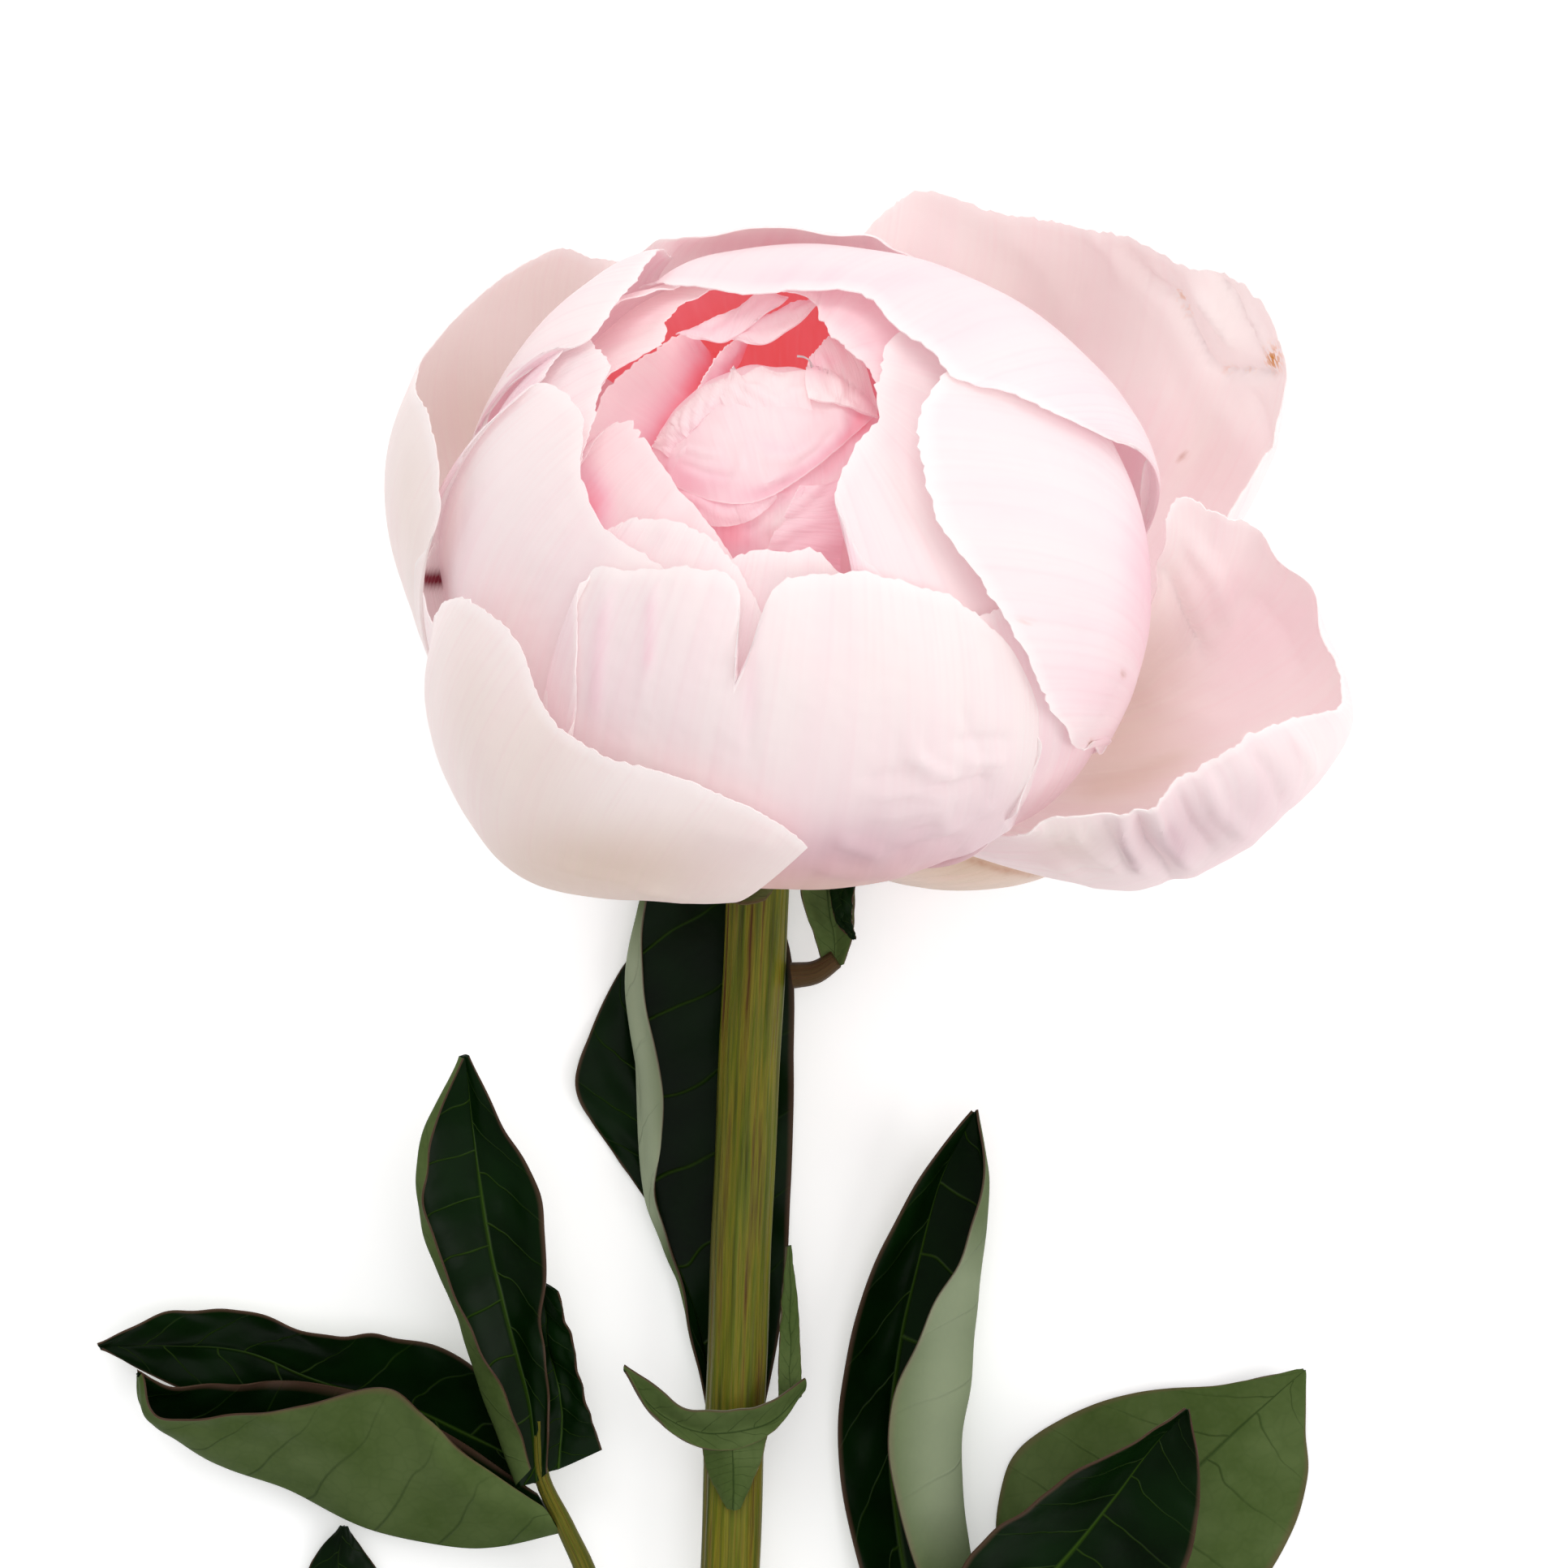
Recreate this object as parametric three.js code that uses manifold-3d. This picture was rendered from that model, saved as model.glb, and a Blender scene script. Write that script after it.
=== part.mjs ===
// One cut peony laid on a flat surface, in millimetres.
// The surface is z = 0. The stem runs towards -Y, the bloom nods so that it opens upwards.
import * as THREE from 'three';
import { mergeVertices } from 'three/addons/utils/BufferGeometryUtils.js';
import Module from 'manifold-3d';

// Driving sizes of the bloom
const BLOOM_HEIGHT = 47;
const CENTRE = new THREE.Vector3(0, 0, BLOOM_HEIGHT);
const AXIS = new THREE.Vector3(0.08, 0.66, 0.747).normalize();
const PETAL_THICKNESS = 0.8;
const CLAW_REACH = 4.5;
const PETAL_CELLS_ACROSS = 10;
const PETAL_CELLS_ALONG = 7;

// Driving sizes of the stem and the leaves
const STEM_NECK_RADIUS = 3.95;
const STEM_END_RADIUS = 3.5;
const STEM_LENGTH_BELOW = 240;
const RECEPTACLE_RADIUS = 3.9;
const RECEPTACLE_FROM = 50;
const RECEPTACLE_TO = 36.6;
const LEAF_THICKNESS = 0.8;

// The point over the flower from which its outlines are given
const EYE_DISTANCE = 954;
const EYE = new THREE.Vector3(-1.2, -27.6, BLOOM_HEIGHT + EYE_DISTANCE);

const COLOURS = {
  guard: 0xf0e4e4,
  globe: 0xf7e6e9,
  inner: 0xf8dbe2,
  heart: 0xf2b9c5,
  stem: 0x6a7033,
  leaf: 0x1f3a1c,
};

const wasm = await Module();
wasm.setup();

// Places

// A point at height z that looks, from the eye, as if it were at (x, y) beside the bloom's centre
function at(x, y, z) {
  const scale = (EYE.z - z) / EYE_DISTANCE;
  return new THREE.Vector3(EYE.x + (x - EYE.x) * scale, EYE.y + (y - EYE.y) * scale, z);
}

// The same, on the near side of a ball of this radius round the bloom's centre
function on(x, y, radius) {
  let point = at(x, y, BLOOM_HEIGHT);
  for (let pass = 0; pass < 4; pass += 1) {
    const rest = radius ** 2 - point.x ** 2 - point.y ** 2;
    point = at(x, y, BLOOM_HEIGHT + Math.sqrt(Math.max(rest, 0)));
  }
  return point;
}

// Directions round the axis: 0 degrees is right, 90 back, 180 left, 270 front
const RIGHT = new THREE.Vector3(1, 0, 0).projectOnPlane(AXIS).normalize();
const BACK = new THREE.Vector3().crossVectors(AXIS, RIGHT);

function roundAxis(degrees) {
  const angle = THREE.MathUtils.degToRad(degrees);
  return RIGHT.clone().multiplyScalar(Math.cos(angle)).addScaledVector(BACK, Math.sin(angle));
}

// A place on a ball round the centre: degrees round the axis, degrees up from the stem's side, radius
function ball(degrees, up, radius) {
  const angle = THREE.MathUtils.degToRad(up);
  const way = roundAxis(degrees).multiplyScalar(Math.sin(angle)).addScaledVector(AXIS, -Math.cos(angle));
  return CENTRE.clone().addScaledVector(way, radius);
}

function clawPoint(degrees, radius) {
  return ball(degrees, THREE.MathUtils.radToDeg(Math.asin(CLAW_REACH / radius)), radius);
}

// Solids

function solidFrom(positions, triangles) {
  const geometry = new THREE.BufferGeometry();
  geometry.setAttribute('position', new THREE.Float32BufferAttribute(positions, 3));
  geometry.setIndex(triangles);
  return geometry;
}

function volumeOf(points, triangles) {
  let volume = 0;
  for (let t = 0; t < triangles.length; t += 3) {
    const [a, b, c] = [points[triangles[t]], points[triangles[t + 1]], points[triangles[t + 2]]];
    volume += a.dot(new THREE.Vector3().crossVectors(b, c)) / 6;
  }
  return volume;
}

// A closed sheet on a grid of points: both faces share the same diagonals, and walls join them
function sheet(grid, thickness) {
  const rows = grid.length;
  const columns = grid[0].length;
  const top = [];
  const bottom = [];
  for (let i = 0; i < rows; i += 1) {
    for (let j = 0; j < columns; j += 1) {
      const across = grid[Math.min(i + 1, rows - 1)][j].clone().sub(grid[Math.max(i - 1, 0)][j]);
      const along = grid[i][Math.min(j + 1, columns - 1)].clone().sub(grid[i][Math.max(j - 1, 0)]);
      const normal = across.cross(along).normalize().multiplyScalar(thickness / 2);
      top.push(grid[i][j].clone().add(normal));
      bottom.push(grid[i][j].clone().sub(normal));
    }
  }
  const points = [...top, ...bottom];
  points.forEach((point) => { point.z = Math.max(point.z, 0); });
  const under = rows * columns;
  const triangles = [];
  const quad = (a, b, c, d) => triangles.push(a, b, c, a, c, d);
  for (let i = 0; i + 1 < rows; i += 1) {
    for (let j = 0; j + 1 < columns; j += 1) {
      const a = i * columns + j;
      const b = a + columns;
      quad(a, b, b + 1, a + 1);
      triangles.push(under + a, under + b + 1, under + b, under + a, under + a + 1, under + b + 1);
    }
  }
  const edge = [];
  for (let i = 0; i + 1 < rows; i += 1) edge.push(i * columns);
  for (let j = 0; j + 1 < columns; j += 1) edge.push((rows - 1) * columns + j);
  for (let i = rows - 1; i > 0; i -= 1) edge.push(i * columns + columns - 1);
  for (let j = columns - 1; j > 0; j -= 1) edge.push(j);
  edge.forEach((from, k) => {
    const to = edge[(k + 1) % edge.length];
    quad(from, under + from, under + to, to);
  });
  if (volumeOf(points, triangles) < 0) triangles.reverse();
  return solidFrom(points.flatMap((point) => point.toArray()), triangles);
}

function toManifold(geometry) {
  const merged = mergeVertices(geometry, 1e-5);
  return new wasm.Manifold(new wasm.Mesh({
    numProp: 3,
    vertProperties: merged.attributes.position.array,
    triVerts: new Uint32Array(merged.index.array),
  }));
}

// Several solids joined into one body
function join(geometries) {
  const joined = geometries.map(toManifold).reduce((sum, next) => sum.add(next));
  const mesh = joined.getMesh();
  return solidFrom(mesh.vertProperties, Array.from(mesh.triVerts));
}

// A round rod along a path, with a radius for each point of the path
function rod(path, radii, sides, rings, ridge = 0) {
  const curve = new THREE.CatmullRomCurve3(path);
  const frames = curve.computeFrenetFrames(rings, false);
  const points = [];
  for (let k = 0; k <= rings; k += 1) {
    const centre = curve.getPointAt(k / rings);
    const place = (k / rings) * (radii.length - 1);
    const step = Math.min(Math.floor(place), radii.length - 2);
    const radius = THREE.MathUtils.lerp(radii[step], radii[step + 1], place - step);
    for (let s = 0; s < sides; s += 1) {
      const angle = (s / sides) * 2 * Math.PI;
      const reach = radius + (s % 2 === 0 ? ridge : -ridge);
      points.push(centre.clone()
        .addScaledVector(frames.normals[k], reach * Math.cos(angle))
        .addScaledVector(frames.binormals[k], reach * Math.sin(angle)));
    }
  }
  const triangles = [];
  for (let k = 0; k < rings; k += 1) {
    for (let s = 0; s < sides; s += 1) {
      const a = k * sides + s;
      const b = k * sides + ((s + 1) % sides);
      triangles.push(a, b, b + sides, a, b + sides, a + sides);
    }
  }
  for (let s = 1; s + 1 < sides; s += 1) {
    triangles.push(0, s + 1, s);
    triangles.push(rings * sides, rings * sides + s, rings * sides + s + 1);
  }
  if (volumeOf(points, triangles) < 0) triangles.reverse();
  return solidFrom(points.flatMap((point) => point.toArray()), triangles);
}

// Petals

function alongList(values, place) {
  const spot = place * (values.length - 1);
  const step = Math.min(Math.floor(spot), values.length - 2);
  return THREE.MathUtils.lerp(values[step], values[step + 1], spot - step);
}

// From one point to another round the bloom's centre: a share of the turn, and a share of the way out
function turnedOnBall(from, to, turn, out) {
  const angle = from.angleTo(to);
  const way = from.clone().setLength(Math.sin((1 - turn) * angle))
    .add(to.clone().setLength(Math.sin(turn * angle)));
  return way.setLength(THREE.MathUtils.lerp(from.length(), to.length(), out));
}

function bentOverBelly(from, belly, to, share) {
  const first = turnedOnBall(from, belly, share, share);
  const second = turnedOnBall(belly, to, share, share);
  return turnedOnBall(first, second, share, share);
}

// A petal is a fan on a ball: from a short claw at the receptacle out to its rim.
// claw is [from degrees, to degrees, radius there, radius here]. bulge lifts its middle off the ball,
// and a belly is a line that pulls the middle of a deep petal towards itself.
function petal({ claw, rim, belly, bulge = [0, 0], across = PETAL_CELLS_ACROSS, along = PETAL_CELLS_ALONG }) {
  const rimCurve = new THREE.CatmullRomCurve3(rim);
  const bellyCurve = belly && new THREE.CatmullRomCurve3(belly);
  const grid = [];
  for (let i = 0; i <= across; i += 1) {
    const u = i / across;
    const degrees = THREE.MathUtils.lerp(claw[0], claw[1], u);
    const root = clawPoint(degrees, THREE.MathUtils.lerp(claw[2], claw[3], u)).sub(CENTRE);
    const edge = rimCurve.getPointAt(u).sub(CENTRE);
    const line = [];
    for (let j = 0; j <= along; j += 1) {
      const v = j / along;
      const point = bellyCurve
        ? bentOverBelly(root, bellyCurve.getPointAt(u).sub(CENTRE), edge, v)
        : turnedOnBall(root, edge, v, 1 - (1 - v) ** 2);
      point.setLength(point.length() + alongList(bulge, u) * Math.sin(Math.PI * v)).add(CENTRE);
      point.z = Math.max(point.z, PETAL_THICKNESS / 2);
      line.push(point);
    }
    grid.push(line);
  }
  return sheet(grid, PETAL_THICKNESS);
}

// A blade or a strip, through lines that run along it from one edge to the other
function blade({ lines, across = 4, along = 10, thickness = LEAF_THICKNESS }) {
  const curves = lines.map((line) => new THREE.CatmullRomCurve3(line));
  const grid = [];
  for (let j = 0; j <= along; j += 1) {
    const section = new THREE.CatmullRomCurve3(curves.map((curve) => curve.getPoint(j / along)));
    const row = [];
    for (let i = 0; i <= across; i += 1) {
      const point = section.getPoint(i / across);
      point.z = Math.max(point.z, thickness / 2);
      row.push(point);
    }
    grid.push(row);
  }
  return sheet(grid, thickness);
}

// Guard petals, loose round the globe. The one at the back carries the bloom on the surface.
const GUARDS = {
  guard_back: {
    claw: [28, 125, 47.4, 47.4],
    bulge: [1, 1, 0.5],
    across: 12,
    along: 8,
    rim: [
      at(53.6, 5.6, 30), at(58, 13.3, 34), at(60.5, 21, 37), at(60.6, 24.5, 38), at(58.5, 30.8, 38),
      at(55, 34.5, 37), at(48, 36.8, 35), at(40, 40.3, 32), at(30, 42.2, 28), at(20, 44.5, 25),
      at(15, 45.8, 23), at(12, 43.5, 20), at(6, 39, 16), at(-6, 36.5, 14),
    ],
  },
  guard_left: {
    claw: [137, 202, 46.7, 46.9],
    bulge: [0, 0.4, 0.9, 0.6],
    across: 12,
    rim: [
      at(-20, 36.5, 21), at(-25, 37.5, 27), at(-28.7, 38.4, 31), at(-35, 35.3, 36), at(-42, 29.5, 42),
      at(-45.8, 24.5, 49), at(-46.5, 21.5, 55), at(-45, 18, 59), at(-44, 14.5, 61), at(-43.8, 10, 62),
      at(-43.4, 6.5, 62), at(-44.6, 2.6, 60), at(-46.5, -0.2, 54),
    ],
  },
  guard_low_left: {
    claw: [196, 222, 45, 45],
    bulge: [0, 0],
    across: 6,
    rim: [at(-42.2, 3, 34), at(-43.9, 0.4, 40), at(-45.3, -3.5, 45), at(-44.8, -7, 51), at(-42, -12, 58)],
  },
  guard_front_left: {
    claw: [204, 250, 47.4, 43.6],
    across: 14,
    belly: [
      ball(200, 50, 48.3), ball(207, 58, 54.5), ball(217, 56, 57), ball(226, 52, 51.5), ball(237, 47, 45.6),
      ball(246, 41, 42),
    ],
    rim: [
      at(-44.2, -6.5, 60), on(-42, -4.6, 47.6), on(-40, -4.8, 47.4), on(-36.5, -7, 46.8),
      on(-33.5, -10.5, 46.2), on(-31.5, -16.5, 45.8), on(-27.2, -21.8, 45.2), on(-20, -25, 44.8),
      on(-15, -26.4, 44.6), on(-10, -28.3, 44.3), on(-5, -30.5, 43.8), on(-1.5, -32.5, 43.4),
      on(1.8, -35.2, 42.8),
    ],
  },
  guard_right: {
    claw: [-58, 12, 44.9, 44.6],
    across: 12,
    along: 8,
    belly: [
      at(22, -27, 22), at(31, -29.5, 30), at(43, -34, 38), at(64, -40, 36), at(74, -24, 27), at(64, -4, 20),
      ball(6, 50, 45.8),
    ],
    rim: [
      at(27.6, -33.8, 52), at(29, -33, 56), at(31.5, -32.2, 60), at(36, -31.2, 62), at(42, -31, 63),
      at(46, -28, 63), at(52, -24, 62), at(59, -20, 59), at(65, -18.7, 54), at(67.5, -17, 49),
      at(66, -11, 44), at(62.5, -2.5, 42), at(58.5, 2.5, 43), at(53, 5.8, 46), at(47.2, 7.8, 49),
      at(45.6, 5, 50),
    ],
  },
  guard_low_right: {
    claw: [-56, -28, 48.4, 48.4],
    across: 6,
    belly: [ball(-50, 24, 55.4), ball(-40, 26, 56.8), ball(-30, 26, 57)],
    rim: [
      at(17, -37.6, 11), at(20.5, -38.4, 11.2), at(26, -39.8, 11.2), at(30.5, -40.4, 10), at(31, -39.4, 6.4),
      at(28, -38.6, 4.8),
    ],
  },
};

// The closed globe. Each petal laps over one neighbour and under the other.
const GLOBE = {
  globe_top: {
    claw: [62, 118, 44.6, 44.6],
    bulge: [1.6, 1, 0.6],
    rim: [
      at(21, 33.8, 28), at(16.8, 36.8, 37), at(13, 38.6, 44), at(10, 40.3, 49), at(5, 40.7, 51),
      at(-5, 41.6, 51), at(-10, 40.5, 50), at(-14, 40.2, 45), at(-17, 39.4, 38), at(-21, 36.5, 29),
    ],
  },
  globe_front: {
    claw: [228, 296, 42.2, 41.2],
    bulge: [0.3, 0.3, -0.6, -1, -0.4, 0.3, 0.4],
    across: 16,
    rim: [
      on(-26.8, -22, 41.4), on(-26.3, -13, 41.4), on(-25.2, -1.2, 41.3), on(-20, -1.1, 41.2),
      on(-14, -0.7, 41.1), on(-9, -2.5, 41), on(-6.3, -6, 41), on(-5.2, -14.5, 41), on(-3.8, -8, 41),
      on(-2, -4, 41), on(1, -2.5, 41), on(10, -1.7, 41), on(18, -4, 41.2), on(26, -9.5, 41.4),
      on(30.3, -18, 42), on(30.5, -22, 42), on(26.5, -30.5, 42.2),
    ],
  },
  globe_right: {
    claw: [-24, 32, 42.7, 41],
    belly: [
      ball(-25, 40, 44), ball(-12, 65, 45.5), ball(0, 82, 46.5), ball(6, 92, 46), ball(12, 90, 44),
      ball(14, 60, 42.8),
    ],
    across: 14,
    rim: [
      at(37.6, -23.7, 46), on(36, -23, 44.2), on(34, -22.5, 43.8),
      on(31.5, -18.5, 43.6), on(28.5, -12, 43.4), on(25, -6, 43.1), on(21, 0, 42.8), on(17.5, 5, 42.6),
      on(15.8, 10, 42.4), on(15.5, 19, 42.2), on(20, 24, 41.5), on(28, 24, 41.5), on(36, 16, 42.4),
      at(42, 8, 48),
    ],
  },
  globe_upper_right: {
    claw: [42, 98, 42.8, 41],
    belly: [
      ball(25, 55, 46), ball(26, 85, 47), ball(34, 95, 45.2), ball(53, 95, 41.5), ball(74, 90, 40.6),
      ball(94, 70, 40.8),
    ],
    across: 14,
    rim: [
      at(43, 8, 40), at(43.3, 12.2, 47), on(41, 14, 45), on(33, 18, 44.9), on(26, 21.2, 44.4),
      on(19.5, 23, 43.2), on(17, 26, 42.4), on(13, 29, 41.4), on(7, 33.5, 39.8), on(0, 33.5, 38.9),
      on(-5, 33.2, 38.6), on(-12, 34, 38.8), on(-16, 34.5, 39.3), at(-19, 34.2, 41),
    ],
  },
  globe_upper_left: {
    claw: [110, 162, 42.6, 41],
    bulge: [0.5, 1, 1, 0.5],
    across: 12,
    rim: [
      at(-15.2, 37.8, 40), on(-16.9, 38.7, 42.4), on(-20, 34.5, 41.9), on(-22.2, 31.8, 41.6),
      on(-25, 28, 41.3), on(-30, 25.2, 41.3), on(-35.5, 22, 41.8), on(-37.8, 18.5, 42.1),
      at(-38.6, 12, 48),
    ],
  },
  globe_left: {
    claw: [174, 216, 42.6, 40.2],
    bulge: [0.7, 0.9, 0.4, 0, 0, -0.3],
    across: 14,
    rim: [
      at(-41.9, 7, 40), on(-40, 12, 43.6), on(-37.5, 15.5, 43.5), on(-34, 19, 43.2), on(-31, 22, 42.8),
      on(-28.3, 20.9, 42.2), on(-26, 18, 41.7), on(-26.2, 12, 41), on(-25.6, 9, 40.6),
      on(-24, 5, 40), on(-20.5, 2, 39.7), on(-15.5, -1.4, 39.4), on(-15, -7, 39.3),
      on(-17, -18, 39.3),
    ],
  },
  globe_low_right: {
    claw: [-70, -22, 39.6, 40],
    bulge: [0, 0, 0.8],
    across: 8,
    rim: [
      on(14, -14, 39.2), on(20, -8, 39.2), on(27, -6, 39.8), on(33, -7, 40.4), on(37, -11, 41),
      at(38.6, -16, 46),
    ],
  },
};

// The inner ring, seen round the opening
const INNER = {
  inner_right: {
    claw: [-28, 36, 38, 38.4],
    bulge: [-0.4, 0],
    across: 12,
    rim: [
      on(15, -8, 37.7), on(11.2, -2, 37.8), on(8.5, 0.5, 37.9), on(5.3, 6.5, 38), on(5.2, 9.5, 38),
      on(8.5, 15.6, 38), on(10.2, 17.7, 38), on(10, 21, 38), on(11, 25.5, 38),
      on(13, 28.5, 38), on(18, 27, 38), on(24, 20, 38),
    ],
  },
  inner_front_left: {
    claw: [214, 258, 38.3, 38.3],
    across: 12,
    rim: [
      on(-25.5, -5, 37.9), on(-24.6, 2, 37.9), on(-22.8, 4, 37.9), on(-20, 5.3, 37.9), on(-15, 5, 37.9),
      on(-12.5, 4.3, 38), on(-10, 2.8, 38), on(-8, 0.5, 38), on(-6.5, -1.5, 38), on(-3, -8, 38),
    ],
  },
  inner_front: {
    claw: [240, 312, 37.4, 36.7],
    across: 10,
    rim: [
      on(-14, -6, 36.5), on(-9, -0.5, 36.5), on(-5.5, 1.3, 36.5), on(0, 1.3, 36.5), on(1.8, 1.8, 36.4),
      on(5.2, -0.8, 36.3), on(9, -5, 36), on(14, -12, 35.8),
    ],
  },
  inner_left: {
    claw: [160, 196, 38.8, 38.6],
    across: 12,
    rim: [
      on(-30.5, 22, 39.4), on(-28, 25.5, 39.4), on(-25.7, 27.3, 39.2), on(-24, 26, 39),
      on(-22.7, 24.5, 38.8), on(-23.8, 22, 38.6), on(-25.3, 16, 38.4), on(-27.5, 10, 38.2),
      on(-30, 7, 38.2),
    ],
  },
};

// Small petals that grow together with the core
const HEART_PETALS = [
  { claw: [104, 150, 35.4, 35.2], across: 7, rim: [
    on(-9, 33.6, 35.9), on(-13, 33.8, 36.3), on(-18, 32.8, 37.5), on(-22, 31.4, 38.4),
    on(-25.6, 27.5, 37.7), on(-26, 22, 37)] },
  { claw: [108, 170, 34.4, 34], across: 8, rim: [
    on(-5, 32.8, 35.6), on(-9.2, 33.3, 35.6), on(-12.5, 32, 35.6), on(-15.2, 30.7, 35.5),
    on(-17, 26, 35.4), on(-22.8, 22.6, 35.4), on(-25, 18, 34.8)] },
  { claw: [8, 84, 35, 35], across: 8, rim: [
    on(14, 13, 35.4), on(11, 19, 35.6), on(9, 23.5, 35.8), on(4.7, 27.3, 36), on(3.3, 29.5, 36),
    on(2.3, 31.8, 36), on(-2, 33.4, 36.2)] },
  { claw: [150, 196, 33.4, 33], across: 6, rim: [
    on(-11.8, 27.2, 33.4), on(-17, 26, 33.8), on(-22, 22, 34), on(-25.5, 15, 34), on(-27, 8, 34)] },
  { claw: [186, 262, 34.6, 34], across: 8, rim: [
    on(-27, 7, 36), on(-26.1, 12, 35.8), on(-22.1, 16.5, 35.4), on(-19.2, 17, 35), on(-15, 10, 34.6),
    on(-10, 4, 34.4), on(-6, -2, 34.4)] },
  { claw: [140, 176, 31, 31], across: 6, rim: [
    on(-6.2, 27.4, 31.4), on(-9.5, 25, 31), on(-12.3, 19, 30.6), on(-15, 14, 30)] },
  { claw: [60, 140, 28, 28], bulge: [-6, -7, -6], across: 6, rim: [
    on(9, 27, 33.4), on(-1, 32.2, 33.8), on(-12, 31.4, 34.2), on(-17, 26, 33)] },
];

// Strips that hang over the hollow behind the core
const HEART_STRIPS = [
  { across: 2, along: 6, lines: [
    [on(-15, 27.6, 34.6), on(-10, 30.4, 34.6), on(-4, 32.6, 34.8), on(3, 32.4, 35.9)],
    [on(-14, 27.6, 35.4), on(-10, 28.4, 35.4), on(-5, 29.8, 35.2), on(3.4, 31, 35.9)],
  ] },
  { across: 2, along: 6, lines: [
    [on(-10, 27, 33.6), on(-5, 29.5, 33.8), on(-1, 31.2, 34), on(4, 31.2, 35.9)],
    [on(-7, 27.3, 34.4), on(-3.7, 26.7, 34.6), on(-0.5, 29.2, 34.6), on(4, 29.6, 35.9)],
  ] },
  { across: 4, along: 5, lines: [
    [on(5, 27.2, 35.9), on(3, 25.6, 35.4), on(1.7, 24.4, 34.6)],
    [on(8.5, 22.5, 35.9), on(5, 22.5, 34.8), on(1.5, 21.8, 33.6)],
    [on(11, 17.4, 35.6), on(7, 18.6, 34.6), on(2.2, 19.8, 33.2)],
  ] },
];

const CORE_CENTRE = at(-3.6, 9.6, 60);
const CORE_RADII = new THREE.Vector3(13.8, 13.4, 14);
const CORE_FOLDS = 5;
const CORE_FOLD_DEPTH = 0.045;
const CORE_SIDES = 18;
const CORE_RINGS = 10;

// The core: a crumpled ball of packed petals, its folds turning round its top
function core() {
  const ball = new THREE.SphereGeometry(1, CORE_SIDES, CORE_RINGS);
  ball.deleteAttribute('normal');
  ball.deleteAttribute('uv');
  const merged = mergeVertices(ball, 1e-4);
  const position = merged.attributes.position;
  for (let k = 0; k < position.count; k += 1) {
    const way = new THREE.Vector3().fromBufferAttribute(position, k).applyAxisAngle(RIGHT, Math.PI / 2);
    const turn = Math.atan2(way.y, way.x);
    const fold = 1 + CORE_FOLD_DEPTH * Math.sin(CORE_FOLDS * turn + 4 * way.z) * Math.hypot(way.x, way.y);
    way.multiply(CORE_RADII).multiplyScalar(fold).add(CORE_CENTRE);
    position.setXYZ(k, way.x, way.y, way.z);
  }
  return merged;
}

const HEART_CELLS_ALONG = 5;
const HEART_GAP_TO_STEM = 0.5;
const HEART_STALK_RADII = [3.7, 5.5, 8, 10.5];
const HEART_STALK_SHARES = [0, 0.3, 0.65, 1];
const HEART_STALK_SIDES = 10;
const HEART_STALK_RINGS = 4;

function heartStalk() {
  const foot = CENTRE.clone().addScaledVector(AXIS, HEART_GAP_TO_STEM - RECEPTACLE_TO);
  const path = HEART_STALK_SHARES.map((share) => foot.clone().lerp(CORE_CENTRE, share));
  return rod(path, HEART_STALK_RADII, HEART_STALK_SIDES, HEART_STALK_RINGS);
}

function heart() {
  return join([
    core(),
    heartStalk(),
    ...HEART_PETALS.map((shape) => petal({ ...shape, along: HEART_CELLS_ALONG })),
    ...HEART_STRIPS.map((strip) => blade({ ...strip, thickness: PETAL_THICKNESS })),
  ]);
}

// Stem, receptacle and sepals in one piece
const STEM_PATH = [
  at(-10.6, -STEM_LENGTH_BELOW, STEM_END_RADIUS), at(-10.2, -210, 4.2), at(-9.2, -165, 6.4),
  at(-7.8, -124, 7.8), at(-6.2, -80, 7.9), at(-4.9, -52, 7.7), at(-4.3, -40, 8.2),
];
const SEPALS = [63, 130, 194, 258, 356];
const SEPAL_HALF_WIDTH = 30;
const SEPAL_RADIUS = 49.6;
const SEPAL_TIP_RADIUS = 53.8;
const SEPAL_TIP_HALF_WIDTH = 24;
const SEPAL_LENGTH_DEGREES = 17;
const SEPAL_ROUNDING = 0.35;

function sepal(degrees) {
  const rim = [-1, -0.6, 0, 0.6, 1].map((side) => (
    ball(degrees + side * SEPAL_TIP_HALF_WIDTH, SEPAL_LENGTH_DEGREES * (1 - SEPAL_ROUNDING * side * side),
      SEPAL_TIP_RADIUS)
  ));
  const claw = [degrees - SEPAL_HALF_WIDTH, degrees + SEPAL_HALF_WIDTH, SEPAL_RADIUS, SEPAL_RADIUS];
  return petal({ claw, rim, across: 4, along: 3 });
}

const STEM_RADII = [STEM_END_RADIUS, 3.75, STEM_NECK_RADIUS];
const STEM_SIDES = 12;
const STEM_RINGS = 20;
const STEM_RIDGE = 0.1;
const COLLAR_FROM = 53;
const COLLAR_TO = 49;
const COLLAR_RADII = [4, 5.2];
const COLLAR_RINGS = 2;

function alongAxis(below) {
  return CENTRE.clone().addScaledVector(AXIS, -below);
}

function stem() {
  const foot = alongAxis(RECEPTACLE_FROM);
  return join([
    rod([...STEM_PATH, foot], STEM_RADII, STEM_SIDES, STEM_RINGS, STEM_RIDGE),
    rod([alongAxis(COLLAR_FROM), alongAxis(COLLAR_TO)], COLLAR_RADII, STEM_SIDES, COLLAR_RINGS),
    rod([foot, alongAxis(RECEPTACLE_TO)], [RECEPTACLE_RADIUS, RECEPTACLE_RADIUS], STEM_SIDES, COLLAR_RINGS),
    ...SEPALS.map(sepal),
  ]);
}

// Leaves

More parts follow.
